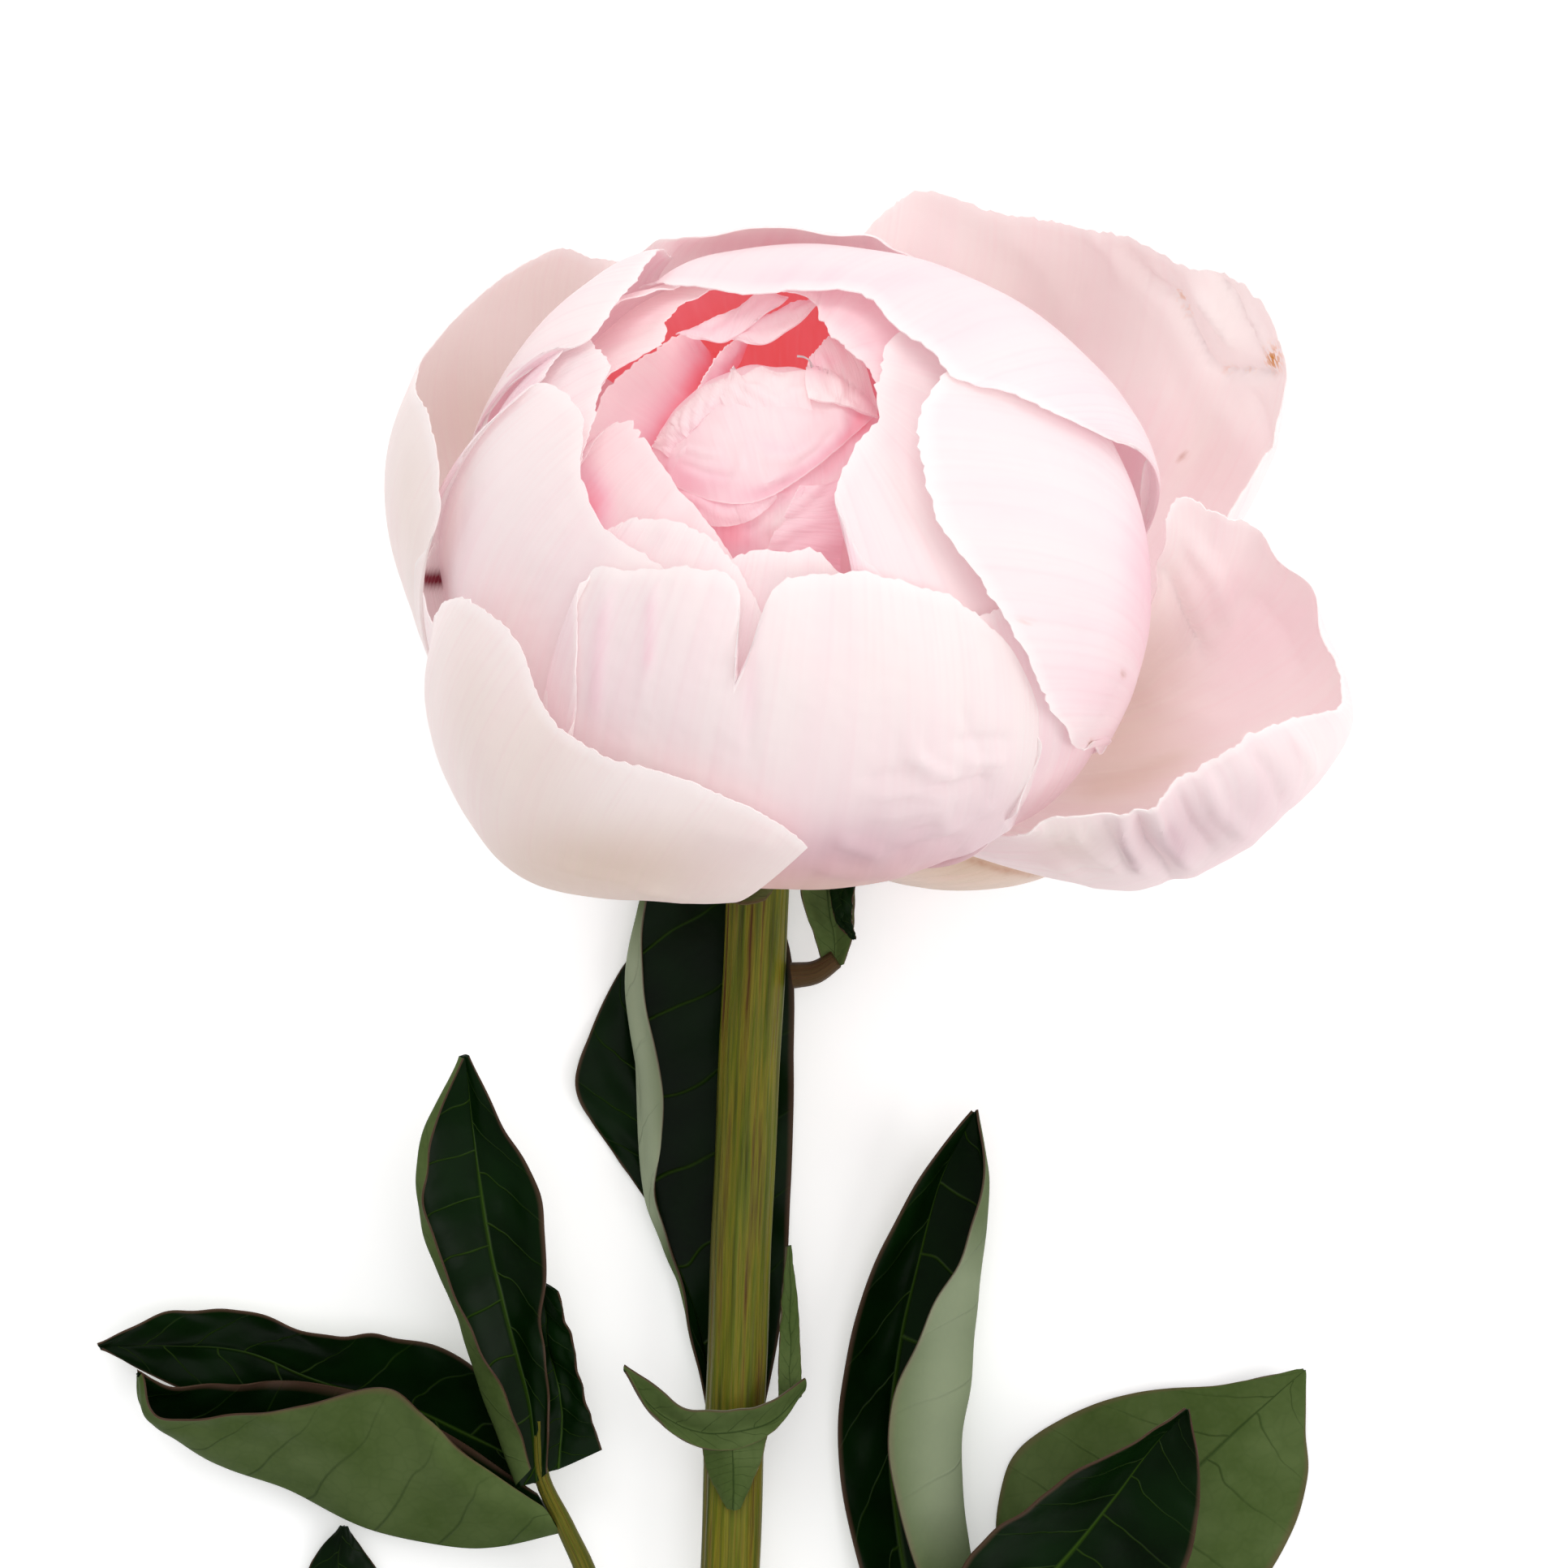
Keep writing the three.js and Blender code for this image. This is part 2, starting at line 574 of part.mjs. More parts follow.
function leafBack() {
  const long = blade({ across: 5, along: 10, lines: [
    [at(-10, -108.5, 2.8), at(-13, -93, 3.6), at(-16.8, -79, 4.6), at(-16, -66, 6), at(-18.8, -51, 5),
      at(-17.6, -34, 2.8)],
    [at(-9, -109, 1.6), at(-12.2, -93, 1.8), at(-17.8, -78, 2.4), at(-19.4, -62, 2.8), at(-19.9, -48, 2.8),
      at(-15.6, -32.4, 1.6)],
    [at(-7, -110, 1.2), at(-6.8, -93, 1.4), at(-8.6, -78, 1.8), at(-9.6, -62, 2), at(-10, -46, 2),
      at(-13, -30.6, 1)],
    [at(-4.8, -110, 1.6), at(-1.4, -93, 2), at(-0.4, -78, 2.2), at(0, -62, 2.4), at(-1, -46, 2.2),
      at(-10, -31.8, 1.3)],
  ] });
  const short = blade({ across: 4, along: 8, lines: [
    [at(-9.6, -99, 0.8), at(-13, -90, 0.6), at(-17.5, -80, 0.6), at(-22.6, -72.5, 0.7), at(-26.9, -65, 1),
      at(-25, -58, 1), at(-21.4, -50.6, 0.8), at(-18.6, -47, 0.7)],
    [at(-7.4, -101, 0.9), at(-10, -91, 0.7), at(-13, -81, 0.6), at(-16.4, -72.5, 0.6), at(-18, -65, 0.6),
      at(-18, -58, 0.6), at(-17.8, -51, 0.6), at(-17.8, -46.6, 0.6)],
    [at(-6, -101, 0.9), at(-7, -92, 0.7), at(-8.5, -82, 0.6), at(-10.6, -73, 0.6), at(-12, -65, 0.6),
      at(-13.4, -58, 0.6), at(-15.2, -51, 0.6), at(-17, -46.6, 0.6)],
  ] });
  const root = rod([at(-7.4, -98, 1.2), at(-7.2, -108, 1.6), at(-7.4, -116, 2.2)], [0.9, 1.3, 1.6], 8, 6);
  return join([long, short, root]);
}

function leafNeck() {
  const stalk = rod([at(-0.2, -51.2, 7.8), at(2.6, -50.8, 8), at(5.2, -49.2, 8.6)], [1.7, 1.5, 1.2], 8, 5);
  const body = blade({ across: 4, along: 8, lines: [
    [at(3.6, -50, 8.4), at(2.6, -46.5, 9.2), at(1.3, -43, 9.6), at(1, -40, 9.4), at(3.4, -38.6, 7.8),
      at(8.2, -37.4, 6)],
    [at(5, -50.2, 8), at(5, -46.5, 8.2), at(4.4, -43, 8.6), at(4.2, -40, 8.6), at(6, -38.2, 7),
      at(8.6, -37.2, 5.6)],
    [at(6.2, -49.8, 8.4), at(7.2, -46.5, 9.2), at(7.5, -43, 9.8), at(7.6, -40, 9.8), at(8.2, -38.6, 8),
      at(9, -37.4, 6)],
  ] });
  const folded = blade({ across: 3, along: 6, lines: [
    [at(4.6, -39, 7.8), at(4.5, -41, 10.8), at(5.2, -44.5, 12), at(7.2, -46.8, 12.4)],
    [at(8, -39, 8.4), at(7.4, -41, 11.4), at(7.2, -44.5, 12), at(7.7, -46.7, 12.4)],
  ] });
  return join([stalk, body, folded]);
}

function leafBoat() {
  const boat = blade({ across: 4, along: 12, lines: [
    [at(-20.9, -99.2, 17.4), at(-17, -101.8, 17), at(-13.5, -104.4, 16.8), at(-8, -104.7, 16.4),
      at(-3, -103.8, 15.2), at(1.4, -100.8, 12.4)],
    [at(-20.8, -99.6, 17), at(-17.6, -104, 15), at(-13, -107, 14), at(-8, -107.4, 13.6),
      at(-3, -106, 12.8), at(1.4, -101.6, 11.4)],
    [at(-20.7, -100, 17.2), at(-17.2, -105.6, 15.6), at(-12, -109.2, 14.4), at(-7.4, -109.6, 13.8),
      at(-2.6, -107.4, 12.6), at(1.2, -102.4, 10.8)],
  ] });
  const sheath = blade({ across: 4, along: 5, lines: [
    [at(-11.4, -108.6, 13), at(-10.6, -112.4, 11.6), at(-8.2, -116.8, 12.2)],
    [at(-7.6, -108.8, 13.4), at(-7.4, -112.4, 13), at(-7.4, -117, 12.7)],
    [at(-3, -106.8, 12.2), at(-4.2, -111.4, 12), at(-6.6, -116.8, 12.3)],
  ] });
  const ear = blade({ across: 3, along: 8, lines: [
    [at(-1.8, -105, 12), at(-1.9, -100, 10.4), at(-1.6, -93, 9.2), at(-0.9, -84.6, 8.4)],
    [at(1, -103, 11.4), at(0.9, -99, 9.6), at(0.5, -92, 8.2), at(-0.4, -84.4, 7.8)],
  ] });
  return join([boat, sheath, ear]);
}

function leafLeft() {
  const upper = blade({ across: 5, along: 10, lines: [
    [at(-40.7, -61.4, 19.4), at(-44.4, -70, 19), at(-45.6, -78, 18.6), at(-43.2, -86.8, 18),
      at(-38.9, -96.2, 17), at(-34.5, -105.5, 15), at(-32.4, -112, 12.5)],
    [at(-41, -61.2, 18.6), at(-44.9, -70, 17.6), at(-46.2, -78, 16.8), at(-44, -86, 15.6),
      at(-41, -95, 14), at(-37.2, -105.3, 12), at(-34, -114, 10.4)],
    [at(-40.5, -61, 18.4), at(-39.4, -70, 15.4), at(-38.4, -78, 13.6), at(-37, -86, 12.2),
      at(-34.8, -95, 11), at(-32.4, -104, 10), at(-31.6, -113.5, 9.4)],
    [at(-40, -61.2, 18.6), at(-35.8, -70, 17), at(-31.2, -78, 15.6), at(-30.5, -86, 14.2),
      at(-31, -94, 12.6), at(-30.2, -103, 11), at(-30.4, -112.5, 9.8)],
  ] });
  const side = blade({ across: 3, along: 6, lines: [
    [at(-33, -89, 9.6), at(-34, -96, 8.2), at(-33.4, -104, 7.6), at(-31.6, -112.6, 8.4)],
    [at(-31, -89, 10.4), at(-30.2, -96.5, 8.2), at(-28.6, -104.5, 7.4), at(-29, -112, 8.2)],
    [at(-29, -90.2, 11.2), at(-27.4, -96, 10), at(-25.3, -104.5, 8.6), at(-23.6, -109.6, 8)],
  ] });
  const far = blade({ across: 4, along: 9, lines: [
    [at(-85.8, -96.6, 5), at(-77, -92.9, 6), at(-68, -92.5, 6.6), at(-58, -95.5, 6), at(-50, -95.6, 6.6),
      at(-40, -99, 7), at(-31.4, -110.6, 8.4)],
    [at(-85.5, -96.9, 4.4), at(-77, -96.7, 2.6), at(-68, -97.6, 2), at(-59, -100.8, 2), at(-50, -103.6, 2.6),
      at(-41, -107.4, 4), at(-30.4, -112.4, 8.2)],
    [at(-85.2, -97.2, 4.8), at(-78, -101, 2), at(-69, -104.6, 0.6), at(-60, -108, 0.4), at(-50, -110.4, 0.8),
      at(-41, -112.4, 3), at(-30, -114, 7.8)],
  ] });
  const near = blade({ across: 6, along: 11, lines: [
    [at(-80.9, -99.8, 15), at(-77, -101.6, 10.4), at(-69, -101.5, 8.6), at(-61, -101.3, 8.2),
      at(-52, -103, 8), at(-42, -108, 8), at(-31.6, -115, 8.2)],
    [at(-80.7, -100.4, 14), at(-79.9, -104.8, 8.6), at(-71.5, -110, 5.6), at(-62, -114.4, 4.6),
      at(-51, -118.8, 4.6), at(-40, -121.6, 5.6), at(-28.8, -119.6, 7.4)],
    [at(-80.5, -100.6, 14.4), at(-79.2, -106, 11), at(-70.5, -108, 11.6), at(-60, -108.6, 13.4),
      at(-49.5, -111.6, 14.6), at(-40, -115.6, 13), at(-29.6, -118.4, 9.4)],
    [at(-80.3, -100.2, 15), at(-78.2, -105.8, 13.6), at(-70, -105.5, 15.6), at(-60, -104, 18.4),
      at(-49, -102.4, 20.6), at(-41.5, -109.3, 17.6), at(-31, -116.6, 10)],
  ] });
  const low = blade({ across: 4, along: 8, lines: [
    [at(-55.8, -119, 3), at(-59.6, -124, 1), at(-60.4, -132, 0.5), at(-54, -141, 0.7), at(-43, -147.6, 2),
      at(-25.4, -148.4, 5)],
    [at(-55.4, -119, 3.6), at(-56, -125, 2.4), at(-53, -133, 2), at(-47, -139.6, 2.2), at(-38.6, -144, 3),
      at(-25, -146.8, 5)],
    [at(-55, -119.1, 3), at(-52, -123.4, 1.2), at(-46.6, -130, 0.8), at(-41, -135.4, 1.2),
      at(-35, -140, 2.6), at(-24.8, -145.2, 5)],
  ] });
  const stalk = rod([
    at(-31.6, -106, 9.6), at(-31, -113, 8.8), at(-28, -119.4, 8), at(-25, -127, 7), at(-25.2, -146, 5.4),
    at(-20.4, -168, 5.4), at(-14.3, -175.6, 5.6),
  ], [0.8, 1.5, 1.6, 1.9], 8, 14);
  return join([upper, side, far, near, low, stalk]);
}

function leafRight() {
  const tall = blade({ across: 6, along: 12, lines: [
    [at(22, -67.9, 11.4), at(16, -75.5, 8), at(10.5, -85.5, 5.6), at(6.6, -97, 4), at(5.6, -108, 3.4),
      at(7.2, -121, 3.6), at(12, -136, 4), at(18.6, -150, 5)],
    [at(22.1, -68.1, 10.8), at(18.6, -76, 5.6), at(16, -86, 3), at(13.6, -97, 1.4), at(12.4, -108, 1),
      at(13.6, -121, 1.4), at(16.4, -136, 2.6), at(19.6, -151, 4.8)],
    [at(22.4, -68.1, 10.8), at(23.6, -76, 7), at(22.9, -86, 7), at(21.6, -97, 7.6), at(20.7, -108, 7.8),
      at(21.6, -121, 7.6), at(22.4, -136, 6.6), at(20.8, -152, 5.2)],
    [at(22.6, -67.7, 11.6), at(23.3, -77, 10.6), at(20.3, -86.5, 13), at(15.1, -97, 15.4),
      at(11.4, -109, 16.2), at(14.3, -121.5, 14.6), at(18.4, -135, 10.6), at(20.2, -150.6, 6.4)],
  ] });
  const far = blade({ across: 4, along: 10, lines: [
    [at(62.7, -99.6, 4.4), at(53, -101.6, 2.4), at(42, -102.6, 1.4), at(33, -105.8, 1), at(27, -110.5, 1.2),
      at(25, -118, 1.2), at(25.4, -130, 2), at(22, -146, 5.4)],
    [at(62.9, -99.8, 4.4), at(57.5, -104.5, 4.2), at(50.5, -111, 4.4), at(43.5, -118, 4.4),
      at(37.5, -125, 4.4), at(32.4, -132, 4.4), at(28, -139, 4.6), at(21.6, -148, 5.6)],
    [at(63.1, -99.8, 4.4), at(63, -107, 2.4), at(63.3, -113, 1.2), at(60.8, -121, 0.5), at(55.4, -129, 0.5),
      at(47, -137, 1), at(37, -143.4, 2.4), at(21.8, -149.6, 5.4)],
  ] });
  const near = blade({ across: 5, along: 9, lines: [
    [at(48.2, -104.5, 14.6), at(42.4, -108.4, 17), at(34, -112.9, 18.4), at(28, -117.6, 18.8),
      at(21.6, -122.4, 18.4), at(18.6, -133, 14), at(21.8, -147.4, 7.4)],
    [at(48.4, -104.7, 14), at(44.6, -108.6, 12.4), at(40, -115, 10.8), at(35.5, -120.4, 10),
      at(30.5, -127, 9.4), at(26.4, -136, 8.6), at(22.8, -148, 7)],
    [at(48.7, -104.6, 14.4), at(49.9, -111.5, 14), at(49.9, -117, 13), at(48.4, -124, 11.6),
      at(43, -132.6, 10), at(34, -141, 8.6), at(24, -148.8, 7.2)],
  ] });
  const stalk = rod([
    at(21.8, -138, 6.4), at(21.6, -148, 6.2), at(17.6, -162, 5.6), at(6, -183, 5.2), at(-4.6, -191.6, 5.2),
  ], [0.9, 1.9, 1.9, 2], 8, 10);
  return join([tall, far, near, stalk]);
}

// The flower

const flower = new THREE.Group();

function add(name, geometry, colour, roughness) {
  const material = new THREE.MeshStandardMaterial({ color: colour, roughness, metalness: 0 });
  const mesh = new THREE.Mesh(geometry, material);
  mesh.name = name;
  flower.add(mesh);
}

for (const [petals, colour] of [[GUARDS, COLOURS.guard], [GLOBE, COLOURS.globe], [INNER, COLOURS.inner]]) {
  for (const [name, shape] of Object.entries(petals)) add(name, petal(shape), colour, 0.7);
}
add('heart', heart(), COLOURS.heart, 0.7);
add('stem', stem(), COLOURS.stem, 0.6);
add('leaf_back', leafBack(), COLOURS.leaf, 0.5);
add('leaf_neck', leafNeck(), COLOURS.leaf, 0.5);
add('leaf_boat', leafBoat(), COLOURS.leaf, 0.5);
add('leaf_left', leafLeft(), COLOURS.leaf, 0.5);
add('leaf_right', leafRight(), COLOURS.leaf, 0.5);

export default flower;
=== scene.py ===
# One cut peony in pale pink, laid on a pale surface and seen from above.
# Lengths in the tables are millimetres; the meshes are made in metres.
import math

import bpy
import numpy as np
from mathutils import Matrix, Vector


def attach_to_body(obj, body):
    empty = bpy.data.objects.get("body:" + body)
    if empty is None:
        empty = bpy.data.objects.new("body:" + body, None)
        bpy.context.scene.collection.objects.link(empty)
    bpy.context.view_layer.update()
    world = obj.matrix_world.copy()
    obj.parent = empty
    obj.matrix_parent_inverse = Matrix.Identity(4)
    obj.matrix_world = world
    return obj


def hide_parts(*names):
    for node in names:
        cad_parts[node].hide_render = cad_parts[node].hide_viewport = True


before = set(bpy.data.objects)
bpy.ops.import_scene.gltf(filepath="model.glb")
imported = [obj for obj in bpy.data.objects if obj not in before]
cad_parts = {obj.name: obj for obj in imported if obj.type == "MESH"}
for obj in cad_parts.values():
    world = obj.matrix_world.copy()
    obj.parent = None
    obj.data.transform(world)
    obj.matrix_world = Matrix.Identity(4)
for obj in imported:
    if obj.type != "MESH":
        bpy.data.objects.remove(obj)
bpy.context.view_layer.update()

MM = 0.001

# The middle of the bloom, the way from its stem to its opening, and how far from that line the petals start
CENTRE = np.array([0.0, 0.0, 47.0])
AXIS = np.array([0.08, 0.66, 0.747])
AXIS /= np.linalg.norm(AXIS)
CLAW_REACH = 4.5

UP = np.array([0.0, 0.0, 1.0])

# The eye that sees the flower as the photo does, and the least height over the surface
EYE_DISTANCE = 954.0
EYE = np.array([-1.2, -27.6, CENTRE[2] + EYE_DISTANCE])
LOWEST = 0.05

# The length along a stalk, or across the core, that its map takes as 1
MAP_LENGTH = 40.0


# Places

ON_BALL_ROUNDS = 4


def at(x, y, z):
    """A point at height z that looks, from the eye, as if it were at (x, y) beside the bloom's centre."""
    scale = (EYE[2] - z) / EYE_DISTANCE
    return np.array([EYE[0] + (x - EYE[0]) * scale, EYE[1] + (y - EYE[1]) * scale, z])


def on(x, y, radius):
    """The same, on the near side of a ball of this radius round the bloom's centre."""
    point = at(x, y, CENTRE[2])
    for _ in range(ON_BALL_ROUNDS):
        rest = radius**2 - point[0] ** 2 - point[1] ** 2
        point = at(x, y, CENTRE[2] + math.sqrt(max(rest, 0)))
    return point


def seen(points):
    """Where points look to be, from the eye, beside the bloom's centre."""
    scale = EYE_DISTANCE / (EYE[2] - points[..., 2:3])
    return EYE[:2] + (points[..., :2] - EYE[:2]) * scale


# Across the axis, to the right and away from the surface
RIGHT = np.array([1.0, 0.0, 0.0])
RIGHT -= AXIS * (RIGHT @ AXIS)
RIGHT /= np.linalg.norm(RIGHT)
BACK = np.cross(AXIS, RIGHT)


def ball(degrees, up, radius):
    """A place on a ball round the centre: degrees round the axis, degrees up from the stem's side, radius."""
    turn = np.radians(np.asarray(degrees, float))[..., None]
    rise = np.radians(np.asarray(up, float))[..., None]
    way = (RIGHT * np.cos(turn) + BACK * np.sin(turn)) * np.sin(rise) - AXIS * np.cos(rise)
    return CENTRE + way * np.asarray(radius, float)[..., None]


def blend_list(values, share):
    """The value at a share of the way through an evenly spaced list."""
    return np.interp(share, np.linspace(0, 1, len(values)), values)


class Curve:
    """A centripetal spline through points."""

    STEPS = 40
    SAME_PLACE = 1e-4

    def __init__(self, points):
        given = np.array(points, float)
        self.count = len(given) - 1
        self.points = np.vstack([2 * given[0] - given[1], given, 2 * given[-1] - given[-2]])
        self.places = np.linspace(0, 1, self.STEPS * self.count + 1)
        runs = np.linalg.norm(np.diff(self.at_place(self.places), axis=0), axis=1)
        self.shares = np.concatenate([[0], np.cumsum(runs)]) / runs.sum()

    def at_place(self, place):
        """The point at a share of the way through the given points."""
        spot = np.clip(np.asarray(place, float) * self.count, 0, self.count)
        first = np.minimum(spot.astype(int), self.count - 1)
        w = (spot - first)[..., None]
        a, b, c, d = (self.points[first + k] for k in range(4))
        gaps = [np.sqrt(np.linalg.norm(q - p, axis=-1, keepdims=True)) for p, q in ((a, b), (b, c), (c, d))]
        middle = np.where(gaps[1] < self.SAME_PLACE, 1.0, gaps[1])
        before = np.where(gaps[0] < self.SAME_PLACE, middle, gaps[0])
        after = np.where(gaps[2] < self.SAME_PLACE, middle, gaps[2])
        start = ((b - a) / before - (c - a) / (before + middle) + (c - b) / middle) * middle
        end = ((c - b) / middle - (d - b) / (middle + after) + (d - c) / after) * middle
        return b + start * w + (3 * c - 3 * b - 2 * start - end) * w**2 + (2 * b - 2 * c + start + end) * w**3

    def at_share(self, share):
        """The point at a share of the curve's length."""
        return self.at_place(np.interp(share, self.shares, self.places))


# Surfaces

def unit(vectors):
    return vectors / np.maximum(np.linalg.norm(vectors, axis=-1, keepdims=True), 1e-9)


def turned_on_ball(start, end, turn, out):
    """From one point to another round the centre: a share of the turn, and a share of the way out."""
    first = np.linalg.norm(start, axis=-1, keepdims=True)
    last = np.linalg.norm(end, axis=-1, keepdims=True)
    cosine = np.clip((start * end).sum(-1, keepdims=True) / (first * last), -1, 1)
    angle = np.maximum(np.arccos(cosine), 1e-5)
    way = start / first * np.sin((1 - turn) * angle) + end / last * np.sin(turn * angle)
    return unit(way) * (first + (last - first) * out)


def waves(seed, u, v, slowest, fastest, count=9):
    """Soft unevenness, about 1 high: a few slanting waves added up."""
    rng = np.random.default_rng(seed)
    total = 0
    for _ in range(count):
        across, along = rng.uniform(slowest, fastest, 2) * rng.choice([-1, 1], 2)
        total = total + np.sin(2 * np.pi * (across * u + along * v) + rng.uniform(0, 2 * np.pi))
    return total / math.sqrt(count / 2) / 1.6


def near_line(spots, line, width):
    """1 on a line drawn over the flower as it is seen, fading to 0 within about twice its width."""
    best = np.full(spots.shape[:-1], 1e9)
    along = np.zeros(spots.shape[:-1])
    points = np.array(line, float)
    for k in range(len(points) - 1):
        step = points[k + 1] - points[k]
        share = np.clip(((spots - points[k]) @ step) / (step @ step), 0, 1)
        away = np.linalg.norm(spots - points[k] - share[..., None] * step, axis=-1)
        along = np.where(away < best, (k + share) / (len(points) - 1), along)
        best = np.minimum(best, away)
    fade = np.clip(4 * np.minimum(along, 1 - along) + 0.25, 0, 1)
    return np.exp(-((best / width) ** 2)) * fade


def near_spot(spots, place, reach):
    """1 at a place on the flower as it is seen, fading to 0 within about twice the reach."""
    away = np.linalg.norm((spots - np.array(place, float)) / reach, axis=-1)
    return np.exp(-(away**2))


def near(spots, place, reach):
    """The same for a place or for a line, which is a list of places."""
    return near_line(spots, place, reach) if isinstance(place, list) else near_spot(spots, place, reach)


def folded(lift, spots, folds):
    """The lift with folds added, each a line as seen, its width and its height."""
    for line, width, height in folds:
        lift = lift + height * near_line(spots, line, width)
    return lift


def normals_of(grid):
    across = np.gradient(grid, axis=0)
    along = np.gradient(grid, axis=1)
    return unit(np.cross(across, along))


def outward(grid):
    """Normals that point away from the bloom's centre."""
    normals = normals_of(grid)
    return -normals if (normals * (grid - CENTRE)).sum() < 0 else normals


def facing(grid, towards):
    """Normals turned to the side of a direction."""
    normals = normals_of(grid)
    return normals if (normals @ towards).sum() > 0 else -normals


def petal_grid(shape, u, v):
    """A petal's middle surface: a fan on a ball, from a short claw at the stem out to its rim."""
    claw = shape["claw"]
    radius = claw[2] + (claw[3] - claw[2]) * u
    degrees_round = claw[0] + (claw[1] - claw[0]) * u
    degrees_up = np.degrees(np.arcsin(CLAW_REACH / radius))
    root = ball(degrees_round, degrees_up, radius) - CENTRE
    edge = Curve(shape["rim"]).at_share(u) - CENTRE
    root, edge = root[:, None, :], edge[:, None, :]
    turn = v[..., None]
    if "belly" in shape:
        belly = (Curve(shape["belly"]).at_share(u) - CENTRE)[:, None, :]
        out = turn * (1 - shape.get("hug", 0.0) * np.maximum(1 - turn, 0) ** 4)
        first = turned_on_ball(root, belly, turn, out)
        second = turned_on_ball(belly, edge, turn, out)
        line = turned_on_ball(first, second, turn, out)
    else:
        line = turned_on_ball(root, edge, turn, 1 - (1 - turn) ** 2)
    lift = blend_list(shape.get("bulge", [0, 0]), u)[:, None] * np.sin(np.pi * np.minimum(v, 1))
    length = np.linalg.norm(line, axis=-1)
    return CENTRE + line * (1 + lift / length)[..., None]


def sheet_mesh(name, parts, materials):
    """One closed mesh from sheets. A part is (grid, normals, thickness, uv, outer values, inner values)."""
    points, faces, kinds, uvs, values = [], [], [], [], {}
    start = 0
    for grid, normals, thickness, uv, outer, inner in parts:
        rows, columns = grid.shape[:2]
        half = normals * (thickness / 2)[..., None]
        both = np.concatenate([(grid + half).reshape(-1, 3), (grid - half).reshape(-1, 3)])
        both[:, 2] = np.maximum(both[:, 2], LOWEST)
        points.append(both)
        uvs.append(np.concatenate([uv.reshape(-1, 2)] * 2))
        for key in outer:
            pair = [np.broadcast_to(layer[key], grid.shape[:2]).reshape(-1) for layer in (outer, inner)]
            values.setdefault(key, []).append(np.concatenate(pair))
        index = np.arange(rows * columns).reshape(rows, columns)
        a, b, c, d = index[:-1, :-1], index[1:, :-1], index[1:, 1:], index[:-1, 1:]
        top = np.stack([a, b, c, d], -1).reshape(-1, 4)
        under = top[:, ::-1] + rows * columns
        edge = np.concatenate([index[:, 0], index[-1, 1:], index[-2::-1, -1], index[0, -2:0:-1]])
        after = np.roll(edge, -1)
        wall = np.stack([edge, edge + rows * columns, after + rows * columns, after], -1)
        across = np.gradient(grid, axis=0)
        along = np.gradient(grid, axis=1)
        block = np.concatenate([top, under, wall])
        if (np.cross(across, along) * normals).sum() < 0:
            block = block[:, ::-1]
        faces.append(block + start)
        kinds.append(np.concatenate([np.zeros(len(top)), np.ones(len(under)), np.zeros(len(wall))]))
        start += len(both)
    return make_mesh(
        name,
        np.concatenate(points),
        np.concatenate(faces),
        materials,
        np.concatenate(kinds).astype(int),
        np.concatenate(uvs),
        {key: np.concatenate(value) for key, value in values.items()},
    )


SHEET_EDGE = math.radians(55)
ROD_EDGE = math.radians(50)


def show(name, data):
    """An object of the scene with this mesh, lamp or camera."""
    piece = bpy.data.objects.new(name, data)
    bpy.context.scene.collection.objects.link(piece)
    return piece


def dress_mesh(mesh, values, sharpest):
    """Adds the values that the materials read, and smooth shading up to an angle."""
    for key, value in values.items():
        mesh.attributes.new(key, "FLOAT", "POINT").data.foreach_set("value", value.astype(np.float32))
    mesh.update(calc_edges=True)
    mesh.validate()
    mesh.polygons.foreach_set("use_smooth", np.ones(len(mesh.polygons), dtype=bool))
    mesh.set_sharp_from_angle(angle=sharpest)
    return show(mesh.name, mesh)


def make_mesh(name, points, faces, materials, kinds, uv, values):
    """A mesh of four-cornered faces; each face's kind says which of the materials it has."""
    mesh = bpy.data.meshes.new(name)
    count, corners = len(faces), faces.shape[1]
    mesh.vertices.add(len(points))
    mesh.vertices.foreach_set("co", (points * MM).astype(np.float32).ravel())
    mesh.loops.add(count * corners)
    mesh.loops.foreach_set("vertex_index", faces.astype(np.int32).ravel())
    mesh.polygons.add(count)
    mesh.polygons.foreach_set("loop_start", np.arange(count, dtype=np.int32) * corners)
    for material in materials:
        mesh.materials.append(material)
    mesh.polygons.foreach_set("material_index", kinds.astype(np.int32))
    layer = mesh.uv_layers.new(name="petal")
    layer.uv.foreach_set("vector", uv[faces.ravel()].astype(np.float32).ravel())
    return dress_mesh(mesh, values, SHEET_EDGE)


def attach(piece, node):
    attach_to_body(piece, "root")
    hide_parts(node)


# Materials

def colour(red, green, blue):
    """An sRGB colour, 0 to 255, as linear values."""
    parts = np.array([red, green, blue]) / 255
    return (*np.where(parts < 0.04045, parts / 12.92, ((parts + 0.055) / 1.055) ** 2.4), 1.0)


